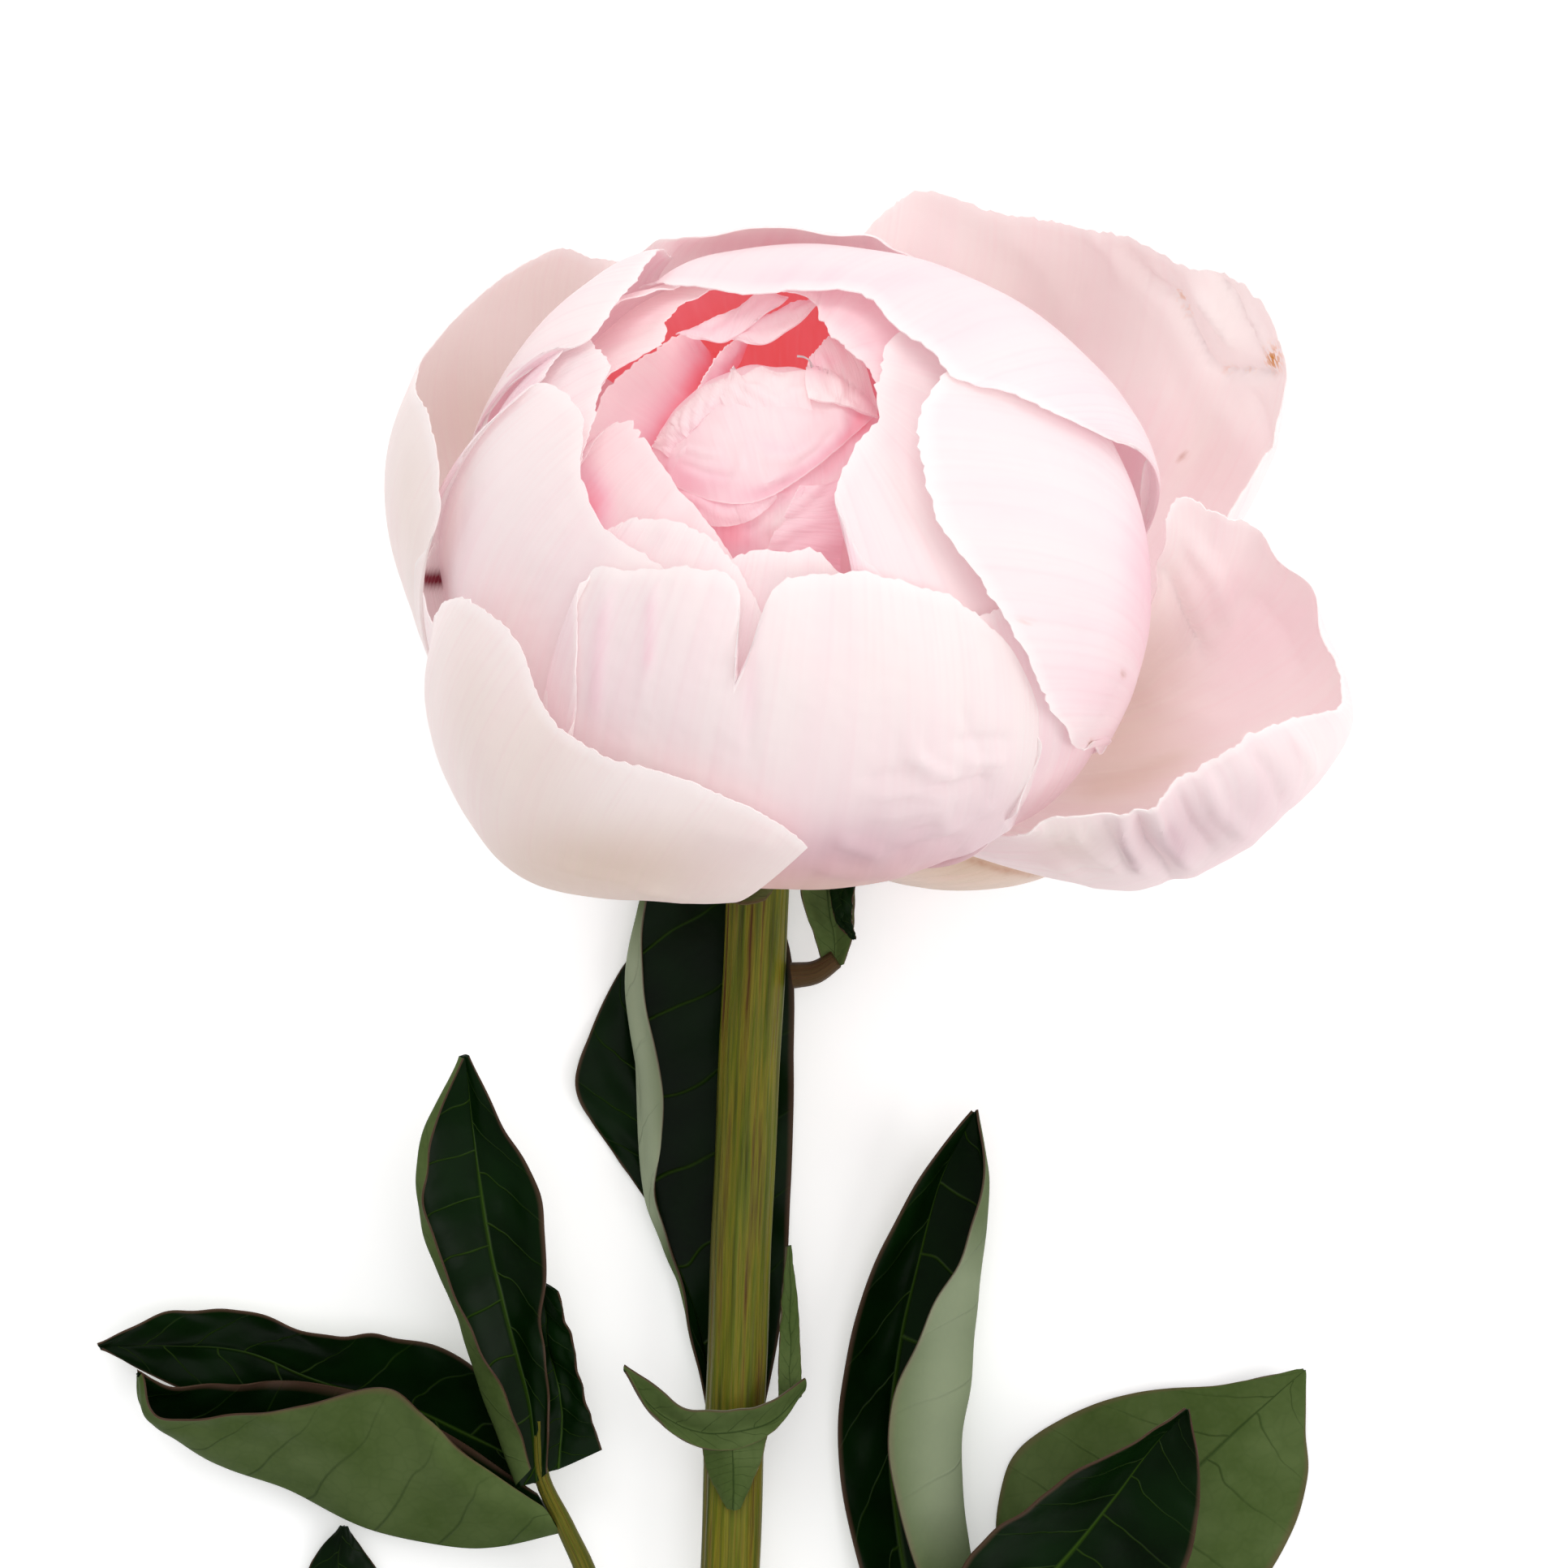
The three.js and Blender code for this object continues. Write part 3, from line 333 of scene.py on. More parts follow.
class Nodes:
    """Short names for building a node material."""

    def __init__(self, name):
        self.material = bpy.data.materials.new(name)
        self.material.use_nodes = True
        self.tree = self.material.node_tree
        self.tree.nodes.clear()

    def add(self, kind, **settings):
        node = self.tree.nodes.new(kind)
        for key, value in settings.items():
            setattr(node, key, value)
        return node

    def link(self, source, target):
        self.tree.links.new(source, target)

    def feed(self, socket, value):
        if isinstance(value, bpy.types.NodeSocket):
            self.link(value, socket)
        else:
            socket.default_value = value

    def math(self, operation, first, second=0.0, clamp=False):
        node = self.add("ShaderNodeMath", operation=operation, use_clamp=clamp)
        self.feed(node.inputs[0], first)
        self.feed(node.inputs[1], second)
        return node.outputs[0]

    def above(self, value, least, strength=None):
        """How far a value is over a least one, 0 to 1, and times a strength."""
        over = self.math("SUBTRACT", value, least, clamp=True)
        return over if strength is None else self.math("MULTIPLY", over, strength)

    def about(self, value, strength):
        """A noise, which is 0.5 on average, as unevenness about 0."""
        return self.math("MULTIPLY", self.math("SUBTRACT", value, 0.5), strength)

    def ramp(self, factor, stops):
        node = self.add("ShaderNodeValToRGB")
        elements = node.color_ramp.elements
        while len(elements) < len(stops):
            elements.new(0.5)
        for element, (place, value) in zip(elements, stops):
            element.position = place
            element.color = value
        self.feed(node.inputs[0], factor)
        return node.outputs[0]

    def mix(self, factor, first, second, blend="MIX"):
        node = self.add("ShaderNodeMix", data_type="RGBA", blend_type=blend)
        self.feed(node.inputs["Factor"], factor)
        self.feed(node.inputs[6], first)
        self.feed(node.inputs[7], second)
        return node.outputs[2]

    def tint(self, base, share, strength, tone):
        """The base turned towards a tone, by a value of the mesh or another share, times a strength."""
        share = self.value(share) if isinstance(share, str) else share
        return self.mix(self.math("MULTIPLY", share, strength, clamp=True), base, tone)

    def noise(self, vector, scale, detail=3.0, roughness=0.5):
        node = self.add("ShaderNodeTexNoise")
        self.link(vector, node.inputs["Vector"])
        node.inputs["Scale"].default_value = scale
        node.inputs["Detail"].default_value = detail
        node.inputs["Roughness"].default_value = roughness
        return node.outputs["Fac"]

    def stretched(self, across, along):
        """The petal's or blade's own map, stretched along it."""
        node = self.add("ShaderNodeUVMap", uv_map="petal")
        mapping = self.add("ShaderNodeMapping")
        self.link(node.outputs[0], mapping.inputs["Vector"])
        mapping.inputs["Scale"].default_value = (across, along, 1)
        return mapping.outputs[0]

    def place(self):
        return self.add("ShaderNodeTexCoord").outputs["Object"]

    def value(self, name):
        """A value that the mesh carries at its points."""
        return self.add("ShaderNodeAttribute", attribute_name=name).outputs["Fac"]

    def bump(self, height, distance, strength=1.0, normal=None):
        node = self.add("ShaderNodeBump")
        self.link(height, node.inputs["Height"])
        node.inputs["Distance"].default_value = distance
        node.inputs["Strength"].default_value = strength
        if normal is not None:
            self.link(normal, node.inputs["Normal"])
        return node.outputs[0]

    def skin(self, base, roughness, gloss, normal=None):
        shader = self.add("ShaderNodeBsdfPrincipled")
        self.link(base, shader.inputs["Base Color"])
        shader.inputs["Roughness"].default_value = roughness
        shader.inputs["Specular IOR Level"].default_value = gloss
        if normal is not None:
            self.link(normal, shader.inputs["Normal"])
        return shader

    def through(self, shader, tone, share, normal=None):
        """The shader with a share of the light let through in this tone."""
        thin = self.add("ShaderNodeBsdfTranslucent")
        self.link(tone, thin.inputs["Color"])
        if normal is not None:
            self.link(normal, thin.inputs["Normal"])
        blended = self.add("ShaderNodeMixShader")
        blended.inputs[0].default_value = share
        self.link(shader.outputs[0], blended.inputs[1])
        self.link(thin.outputs[0], blended.inputs[2])
        return blended

    def done(self, shader):
        self.link(shader.outputs[0], self.add("ShaderNodeOutputMaterial").inputs["Surface"])
        return self.material


# The petals glow faintly in their own colour and the heart's petals more strongly: painted light that lifts
# their shade, as light let through them would.
PETAL_GLOW = 0.11
HEART_GLOW = 0.42
PETAL_RAMP = [
    (0.0, colour(251, 245, 244)),
    (0.22, colour(251, 236, 239)),
    (0.45, colour(249, 218, 227)),
    (0.7, colour(246, 180, 196)),
    (1.0, colour(238, 134, 136)),
]
# A thin painted highlight along each petal's rim.
RIM_HIGHLIGHT = colour(253, 249, 248)
VEIN_TONE = colour(241, 212, 218)
# Cream: partly the petals' own cream tone, partly painted shade on their lower and inner faces.
CREAM_AND_SHADE = colour(222, 204, 183)
# Mauve: painted shade on folds and on faces turned from the light.
MAUVE_SHADE = colour(206, 176, 186)
# White: lightens tips and shaded inner faces, partly their own white, partly painted light.
WHITE = colour(255, 254, 252)
BROWN = colour(176, 110, 62)
RED = colour(144, 36, 58)
AMBER = colour(214, 148, 50)
LIGHT_THROUGH = colour(253, 234, 234)
# The heart's glow, pale pink on its pale parts and coral in the deep hollow: painted light.
HEART_SHINE = (0.34, 0.24, 0.26, 1)
HOLLOW_SHINE = colour(214, 103, 107)


def petal_material(name, see_through, heart=False):
    """Thin satin petal: pale at the rim, pink to coral towards its foot, with fine veins, painted shade, a
    painted rim highlight and a painted glow.
    """
    n = Nodes(name)
    mottle = n.noise(n.place(), 55.0, 1.0)
    streak = n.noise(n.stretched(34.0, 1.6), 1.0, 1.0, 0.6)
    fine = n.noise(n.stretched(130.0, 3.5), 1.0, 0.0)
    pink = n.math("ADD", n.value("pink"), n.about(mottle, 0.16))
    pink = n.math("ADD", pink, n.about(streak, 0.2), clamp=True)
    base = n.ramp(pink, PETAL_RAMP)
    # Cream and mauve tints: painted shade, with the cream partly the petal's own tone.
    base = n.tint(base, "cream", 0.8, CREAM_AND_SHADE)
    base = n.tint(base, "mauve_shade", 0.8, MAUVE_SHADE)
    base = n.mix(n.above(fine, 0.5, 0.35), base, VEIN_TONE)
    way = n.add("ShaderNodeSeparateXYZ")
    n.link(n.stretched(1.0, 1.0), way.inputs[0])
    # A painted highlight on the last rows before the rim.
    rim = n.math("DIVIDE", n.math("SUBTRACT", way.outputs[1], 0.975), 0.02, clamp=True)
    base = n.mix(n.math("MULTIPLY", rim, 0.6), base, RIM_HIGHLIGHT)
    # A painted glow: in the heart it is pale pink, turning coral where the petal is deepest; elsewhere it is
    # the petal's own colour.
    if heart:
        depth = n.math("MULTIPLY", n.math("SUBTRACT", n.value("pink"), 0.45), 1.9, clamp=True)
        shine = n.mix(depth, HEART_SHINE, HOLLOW_SHINE)
    else:
        # The white tint: partly the guard petals' own white, partly painted light on shaded inner faces.
        base = n.tint(base, "white", 0.95, WHITE)
        grain = n.noise(n.place(), 1100.0, 1.0)
        brown = n.math("MULTIPLY", n.value("brown"), n.math("ADD", grain, 0.45), clamp=True)
        base = n.mix(brown, base, BROWN)
        base = n.tint(base, "red", 0.9, RED)
        broken = n.ramp(grain, [(0.42, (0, 0, 0, 1)), (0.56, (1, 1, 1, 1))])
        base = n.mix(n.math("MULTIPLY", n.value("amber"), broken, clamp=True), base, AMBER)
        shine = base
    crumple = n.noise(n.place(), 280.0, 1.0, 0.6)
    normal = n.bump(streak, 0.00022, 0.7)
    normal = n.bump(fine, 0.00006, 0.6, normal)
    normal = n.bump(crumple, 0.0004, 0.5, normal)
    shader = n.skin(base, 0.52, 0.32, normal)
    n.link(shine, shader.inputs["Emission Color"])
    shader.inputs["Emission Strength"].default_value = HEART_GLOW if heart else PETAL_GLOW
    tone = n.mix(0.35, base, LIGHT_THROUGH, "MULTIPLY")
    return n.done(n.through(shader, tone, see_through, normal))


def leaf_lines(n):
    """Masks of a leaf's midrib and side veins. The map's x is 0 on the midrib and 1 at the margin."""
    uv = n.add("ShaderNodeSeparateXYZ")
    n.link(n.stretched(1.0, 1.0), uv.inputs[0])
    wander = n.about(n.noise(n.stretched(1.2, 5.0), 1.0, 2.0), 0.22)
    side = n.math("ABSOLUTE", uv.outputs[0])
    rib = n.math("SUBTRACT", 1.0, n.math("DIVIDE", side, n.value("rib_width")), clamp=True)
    way = n.math("SUBTRACT", uv.outputs[1], n.math("MULTIPLY", n.math("POWER", side, 1.25), 0.13))
    way = n.math("ADD", way, n.math("MULTIPLY", wander, 0.35))
    half = n.math("MULTIPLY", n.math("SIGN", uv.outputs[0]), 0.25)
    turn = n.math("ADD", n.math("MULTIPLY", way, 8.0), half)
    gap = n.math("ABSOLUTE", n.math("SUBTRACT", n.math("FRACT", turn), 0.5))
    vein = n.math("SUBTRACT", 1.0, n.math("DIVIDE", gap, 0.028), clamp=True)
    vein = n.math("MULTIPLY", vein, n.math("SUBTRACT", 1.15, side, clamp=True), clamp=True)
    return rib, vein


def leaf_material(name, blade, blade_light, vein_colour, vein_share, net_share, roughness, gloss):
    """A leaf's skin with midrib, side veins, a net of small ones if it has a share, and a brownish margin."""
    n = Nodes(name)
    rib, vein = leaf_lines(n)
    mottle = n.noise(n.place(), 90.0, 2.0, 0.6)
    speck = n.noise(n.place(), 1400.0, 0.0)
    base = n.mix(n.ramp(mottle, [(0.3, (0, 0, 0, 1)), (0.75, (1, 1, 1, 1))]), blade, blade_light)
    base = n.mix(n.above(speck, 0.45, 0.5), base, blade_light)
    if net_share:
        net = n.add("ShaderNodeTexVoronoi", feature="DISTANCE_TO_EDGE")
        n.link(n.place(), net.inputs["Vector"])
        net.inputs["Scale"].default_value = 420.0
        mesh = n.math("SUBTRACT", 1.0, n.math("DIVIDE", net.outputs["Distance"], 0.12), clamp=True)
        base = n.mix(n.math("MULTIPLY", mesh, net_share), base, vein_colour)
    veins = n.math("MAXIMUM", rib, n.math("MULTIPLY", vein, 0.75))
    base = n.mix(n.math("MULTIPLY", veins, vein_share), base, vein_colour)
    margin = n.math("DIVIDE", n.math("SUBTRACT", n.value("margin"), 0.35), 0.5, clamp=True)
    base = n.mix(n.math("MULTIPLY", margin, 0.4), base, colour(112, 80, 68))
    base = n.tint(base, "pink", 1.0, colour(104, 54, 58))
    base = n.tint(base, "cream", 1.0, colour(176, 186, 158))
    normal = n.bump(n.math("MAXIMUM", rib, vein), 0.0003, 0.55)
    normal = n.bump(n.noise(n.place(), 700.0, 1.0), 0.00006, 0.7, normal)
    shader = n.skin(base, roughness, gloss, normal)
    return n.done(n.through(shader, n.mix(0.5, base, colour(120, 150, 60)), 0.08))


def stem_material(name):
    """Olive skin with brown ridges, fibres and patches."""
    n = Nodes(name)
    ridge = n.noise(n.stretched(26.0, 1.3), 1.0, 4.0, 0.55)
    fibre = n.noise(n.stretched(90.0, 4.0), 1.0, 3.0, 0.6)
    patch = n.noise(n.place(), 42.0, 3.0)
    base = n.ramp(ridge, [
        (0.3, colour(52, 60, 4)), (0.44, colour(88, 96, 12)), (0.56, colour(120, 112, 26)),
        (0.68, colour(78, 46, 16)),
    ])
    shade = n.noise(n.stretched(2.6, 0.8), 1.0, 1.0)
    base = n.tint(base, n.above(shade, 0.5), 3.0, colour(58, 44, 18))
    base = n.tint(base, n.above(fibre, 0.42), 1.3, colour(92, 66, 38))
    base = n.tint(base, n.above(patch, 0.45), 1.6, colour(82, 96, 32))
    base = n.tint(base, "pink", 1.0, colour(74, 44, 36))
    base = n.tint(base, "cream", 1.0, colour(150, 158, 112))
    normal = n.bump(ridge, 0.0007, 0.7)
    normal = n.bump(fibre, 0.00018, 0.6, normal)
    return n.done(n.skin(base, 0.42, 0.12, normal))


PETAL_OUTER = petal_material("petal_outside", 0.3)
PETAL_INNER = petal_material("petal_inside", 0.33)
HEART_OUTER = petal_material("heart_petal_outside", 0.4, heart=True)
HEART_INNER = petal_material("heart_petal_inside", 0.4, heart=True)
LEAF_TOP = leaf_material(
    "leaf_top", colour(4, 17, 2), colour(9, 33, 6), colour(64, 94, 22), 0.6, 0.0, 0.33, 0.06,
)
LEAF_UNDER = leaf_material(
    "leaf_underside", colour(66, 84, 38), colour(88, 104, 60), colour(38, 60, 22), 0.7, 0.1, 0.6, 0.05,
)
STEM_SKIN = stem_material("stem_skin")


# Petals. "claw" is [first degrees, last degrees, first radius, last radius] of the foot round the axis, and
# "rim" runs from one side edge to the other. "bulge" lifts the middle off the ball, "belly" pulls it towards
# a line, and "hug" keeps it close to the ball for longer. "tuck" lowers the side edges, "curl" lifts the rim.
# "ragged", "ruffle" and "notches", which are (place as seen, width, depth), shape the rim. "columns" are the
# cells across and "lines" those along. "pink" is for the outer and the inner side, from foot to rim. "folds"
# are (line as seen, width, height). "tints" are (value, place as seen, reach, strength, side), where side is
# 0 for outer, 1 for inner and 2 for both.
# Cream and mauve tints, and pink ones in creases and under rims, are painted shade; white tints are partly
# painted light.

GUARDS = {
    "guard_back": {
        "claw": [28, 125, 47.4, 47.4],
        "bulge": [-4, -2, 0.6, 1, 1, 0.7, 0.5],
        "rim": [
            at(53.6, 5.6, 30), at(58, 13.3, 34), at(60.5, 21, 37), at(60.6, 24.5, 38), at(58.5, 30.8, 38),
            at(55, 34.5, 37), at(48, 36.8, 35), at(40, 40.3, 32), at(30, 42.2, 28), at(20, 44.5, 25),
            at(15, 45.8, 23), at(12, 43.5, 20), at(6, 39, 16), at(-6, 36.5, 14),
        ],
        "pink": ([0.12, 0.1, 0.04], [0.3, 0.12, 0.0]), "ragged": 1.0, "columns": 180,
        "notches": [((48.6, 36.4), 0.5, 0.012), ((56.4, 33.6), 0.5, 0.01), ((59.6, 28), 0.5, 0.012)],
        "folds": [
            ([(41, 38), (44, 34), (47, 32), (49, 28), (51, 24.5), (53, 23.2)], 0.9, 1.6),
            ([(52.5, 23), (56, 23.3), (60, 22.8)], 0.7, 1.0), ([(49, 34), (52, 30), (55, 26)], 0.9, -1.2),
            ([(52, 35), (55, 31), (57.5, 26)], 0.7, 1.2), ([(55, 32), (59, 25.5)], 0.5, -0.9),
            ([(45.5, 36), (48, 33), (50, 29)], 0.7, 0.6), ([(56.5, 21), (58, 17), (58.4, 13)], 0.8, 0.8),
            ([(14, 44), (22, 39), (31, 34)], 2.5, 0.5), ([(25, 42), (31, 36), (36, 27)], 2.2, -0.5),
            ([(45, 28), (48, 20), (50, 12)], 2.0, 0.5), ([(52, 20), (56, 14)], 1.2, -0.4),
            ([(36, 40.5), (39, 38), (41, 34)], 0.8, -0.5),
        ],
        # Cream and mauve inside: painted shade. Less pink and white at the tip: partly its own white, partly
        # painted light.
        "tints": [
            ("cream", (32, 32), (15, 9), 0.22, 1), ("mauve_shade", (36, 31), (11, 9), 0.25, 1),
            ("pink", (52, 31), (10, 10), -0.5, 1), ("white", (54, 30), (9, 8), 0.9, 1),
            ("white", (57, 20), (3, 6), 0.5, 1),
            ("cream", (51, 12), (6, 6), 0.16, 1), ("pink", (40, 20), (12, 9), 0.08, 1),
            ("amber", (59.2, 24.8), (0.8, 1.3), 1.1, 1),
            ("amber", [(46.5, 33), (48.5, 29.5)], 0.25, 0.6, 1),
            ("amber", (53.5, 23.5), (0.5, 0.4), 0.5, 1), ("amber", (56, 23.4), (0.5, 0.3), 0.5, 1),
            ("brown", (48, 12.8), (0.25, 0.45), 0.6, 1),
        ],
    },
    "guard_left": {
        "claw": [137, 202, 46.7, 46.9],
        "bulge": [0, 0.4, 0.9, 0.6],
        "rim": [
            at(-20, 36.5, 21), at(-25, 37.5, 27), at(-28.7, 38.4, 31), at(-35, 35.3, 36),
            at(-42, 29.5, 42),
            at(-45.8, 24.5, 49), at(-46.5, 21.5, 55), at(-45, 18, 59), at(-44, 14.5, 61),
            at(-43.8, 10, 62), at(-43.4, 6.5, 62), at(-44.6, 2.6, 60), at(-46.5, -0.2, 54),
        ],
        "pink": ([0.06, 0.04, 0.0], [0.0, 0.0, 0.0]),
        "folds": [
            ([(-30, 37), (-37, 30), (-41, 20)], 2.4, 0.5), ([(-25, 34), (-33, 26)], 1.6, -0.4),
            ([(-47.5, 17), (-47.5, 9), (-46.5, 3)], 0.9, 0.3),
        ],
        # Cream inside: painted shade with some of the petal's own cream. White inside: painted light on the
        # shaded inner face.
        "tints": [
            ("cream", (-39, 18), (10, 13), 0.52, 1), ("cream", (-30, 33), (9, 6), 0.25, 1),
            ("cream", (-47, 6), (3, 12), 0.3, 0), ("white", (-37, 28), (9, 8), 0.35, 1),
        ],
    },
    "guard_low_left": {
        "columns": 72, "lines": 56,
        "claw": [190, 222, 45.6, 45.6],
        "rim": [at(-41.8, 7, 45), at(-43.8, 3, 49), at(-45.7, -1.6, 52), at(-45, -6.6, 55), at(-42, -12, 58)],
        "pink": ([0.06, 0.06, 0.06], [0.06, 0.06, 0.06]),
        "tints": [("red", [(-46.4, -2.2), (-44.8, -2.4), (-43, -2.2)], 0.8, 1.4, 2)],
    },
    "guard_front_left": {
        "claw": [204, 250, 47.4, 43.6],
        "belly": [
            ball(200, 50, 48.3), ball(207, 58, 54.5), ball(217, 56, 57), ball(226, 52, 51.5),
            ball(237, 47, 45.6), ball(246, 41, 42),
        ],
        "rim": [
            at(-44.2, -6.5, 60), on(-42, -4.6, 47.6), on(-40, -4.8, 47.4), on(-36.5, -7, 46.8),
            on(-33.5, -10.5, 46.2), on(-31.5, -16.5, 45.8), on(-27.2, -21.8, 45.2), on(-20, -25, 44.8),
            on(-15, -26.4, 44.6), on(-10, -28.3, 44.3), on(-5, -30.5, 43.8), on(-1.5, -32.5, 43.4),
            on(1.8, -35.2, 42.8),
        ],
        "pink": ([0.1, 0.03, 0.0], [0.1, 0.08, 0.04]),
        "folds": [
            ([(-32, -36.5), (-26, -38.2), (-20, -39.6), (-14, -41.2)], 0.8, 0.7),
            ([(-26, -39.8), (-18, -39.2)], 0.7, -0.3), ([(-40, -8), (-40, -20), (-36, -30)], 3, 0.4),
            ([(-2, -35.5), (-6, -34), (-12, -33)], 1.0, 0.3),
        ],
        # Cream and mauve on the outer face: painted shade, with some of the petal's own cream.
        "tints": [
            ("cream", (-22, -38), (17, 6), 0.85, 0), ("mauve_shade", (-8, -36), (9, 4), 0.25, 0),
            ("cream", (-40, -14), (4, 9), 0.2, 0), ("cream", (-33, -25), (9, 11), 0.35, 0),
        ],
    },
    "guard_right": {
        "claw": [-46, 12, 44.9, 44.6],
        "belly": [
            at(22, -27, 22), at(31, -29.5, 30), at(43, -34, 38), at(64, -40, 36), at(74, -24, 27),
            at(64, -4, 20), ball(6, 50, 45.8),
        ],
        "rim": [
            at(27.6, -33.8, 52), at(29, -33, 56), at(31.5, -32.2, 60), at(36, -31.2, 62), at(42, -31, 63),
            at(46, -28, 63), at(52, -24, 62), at(59, -20, 59), at(65, -18.7, 54), at(67.5, -17, 49),
            at(66, -11, 44), at(62.5, -2.5, 42), at(58.5, 2.5, 43), at(53, 5.8, 46), at(47.2, 7.8, 49),
            at(45.6, 5, 50),
        ],
        "pink": ([0.16, 0.12, 0.06], [0.0, 0.06, 0.05]), "ragged": 1.3, "ruffle": 0.4, "columns": 200,
        "hug": 2.3,
        "notches": [
            ((32.4, -32.4), 0.4, -0.01), ((39.7, -31.1), 0.35, 0.02), ((42.2, -31.2), 0.45, -0.014),
            ((44.4, -29.6), 0.5, 0.014), ((49.4, -25.8), 0.5, 0.012), ((55.6, -21.6), 0.6, -0.01),
            ((66.8, -15.6), 0.5, 0.012),
        ],
        "folds": [
            ([(45, 1), (47, -4), (49, -9), (51, -12.5)], 1.0, 1.4),
            ([(47.5, 4), (52, -2), (54, -9)], 1.2, -0.9),
            ([(40, -12), (46, -18), (54, -20)], 1.6, -0.6), ([(36, -25), (44, -24), (52, -22)], 1.1, 0.5),
            ([(35, -28), (42, -27), (49, -24.5)], 0.8, -0.45),
            ([(56, -4), (60, -9), (62.5, -15)], 1.2, 0.6),
            ([(44, -30), (45.5, -34), (49, -38)], 0.9, 1.3),
            ([(42.3, -31), (43.5, -35.5), (47, -39.5)], 0.8, -1.2),
            ([(40.3, -31.5), (41, -35.3), (43, -38.5)], 0.7, 0.9),
            ([(37.7, -31.5), (39.2, -34.5), (41, -37)], 0.7, -0.6),
            ([(34, -32.5), (37, -36), (41, -38.5)], 0.8, 0.6),
            ([(50, -26), (52.5, -31), (56, -34.5)], 1.1, 1.1),
            ([(47, -28), (49, -33), (52, -36.5)], 0.9, -0.9),
            ([(56, -23), (59, -27), (60.5, -31)], 1.0, -0.8),
            ([(61, -21), (63.5, -24.5), (64, -27)], 0.8, 0.5),
            ([(30, -36.5), (37, -39.3), (45, -40)], 0.5, 0.5),
            ([(31.5, -34), (33.5, -36.5), (37, -38.5)], 0.6, -0.4),
        ],
        # Cream on the inner face and mauve on the lip's folds: painted shade, with some of the petal's own
        # cream.
        "tints": [
            ("cream", (38, -23), (10, 9), 0.6, 1), ("cream", (43, -12), (6, 9), 0.4, 1),
            ("cream", [(34, -29), (42, -27.4), (50, -23.6)], 1.6, 0.3, 1),
            ("mauve_shade", [(40.2, -32), (41, -35.3), (42.7, -38)], 0.4, 0.35, 0),
            ("mauve_shade", [(45.6, -32), (48, -36)], 0.6, 0.3, 0),
            ("pink", (57, -10), (8, 7), 0.14, 1), ("mauve_shade", (46, -34), (8, 4.5), 0.6, 0),
            ("mauve_shade", (57, -30), (8, 6), 0.45, 0), ("cream", (34, -35), (5, 3), 0.3, 0),
        ],
    },
    "guard_low_right": {
        "columns": 84, "lines": 60,
        "claw": [-54, -28, 48.4, 48.4],
        "belly": [ball(-48, 26, 45.5), ball(-40, 28, 50.5), ball(-30, 28, 53.4)],
        "rim": [
            at(14, -29, 15), at(20, -31, 15), at(26, -34.6, 13.4), at(31, -37.4, 10.8),
            at(32.6, -38.3, 7), at(29.6, -37.8, 4.8),
        ],
        "pink": ([0.14, 0.1, 0.08], [0.14, 0.1, 0.08]),
        "tints": [
            ("cream", (22, -37), (14, 5), 1.2, 2),
            ("brown", [(20, -36.4), (26, -38.2), (31, -38.8)], 0.5, 0.4, 2),
        ],
    },
}

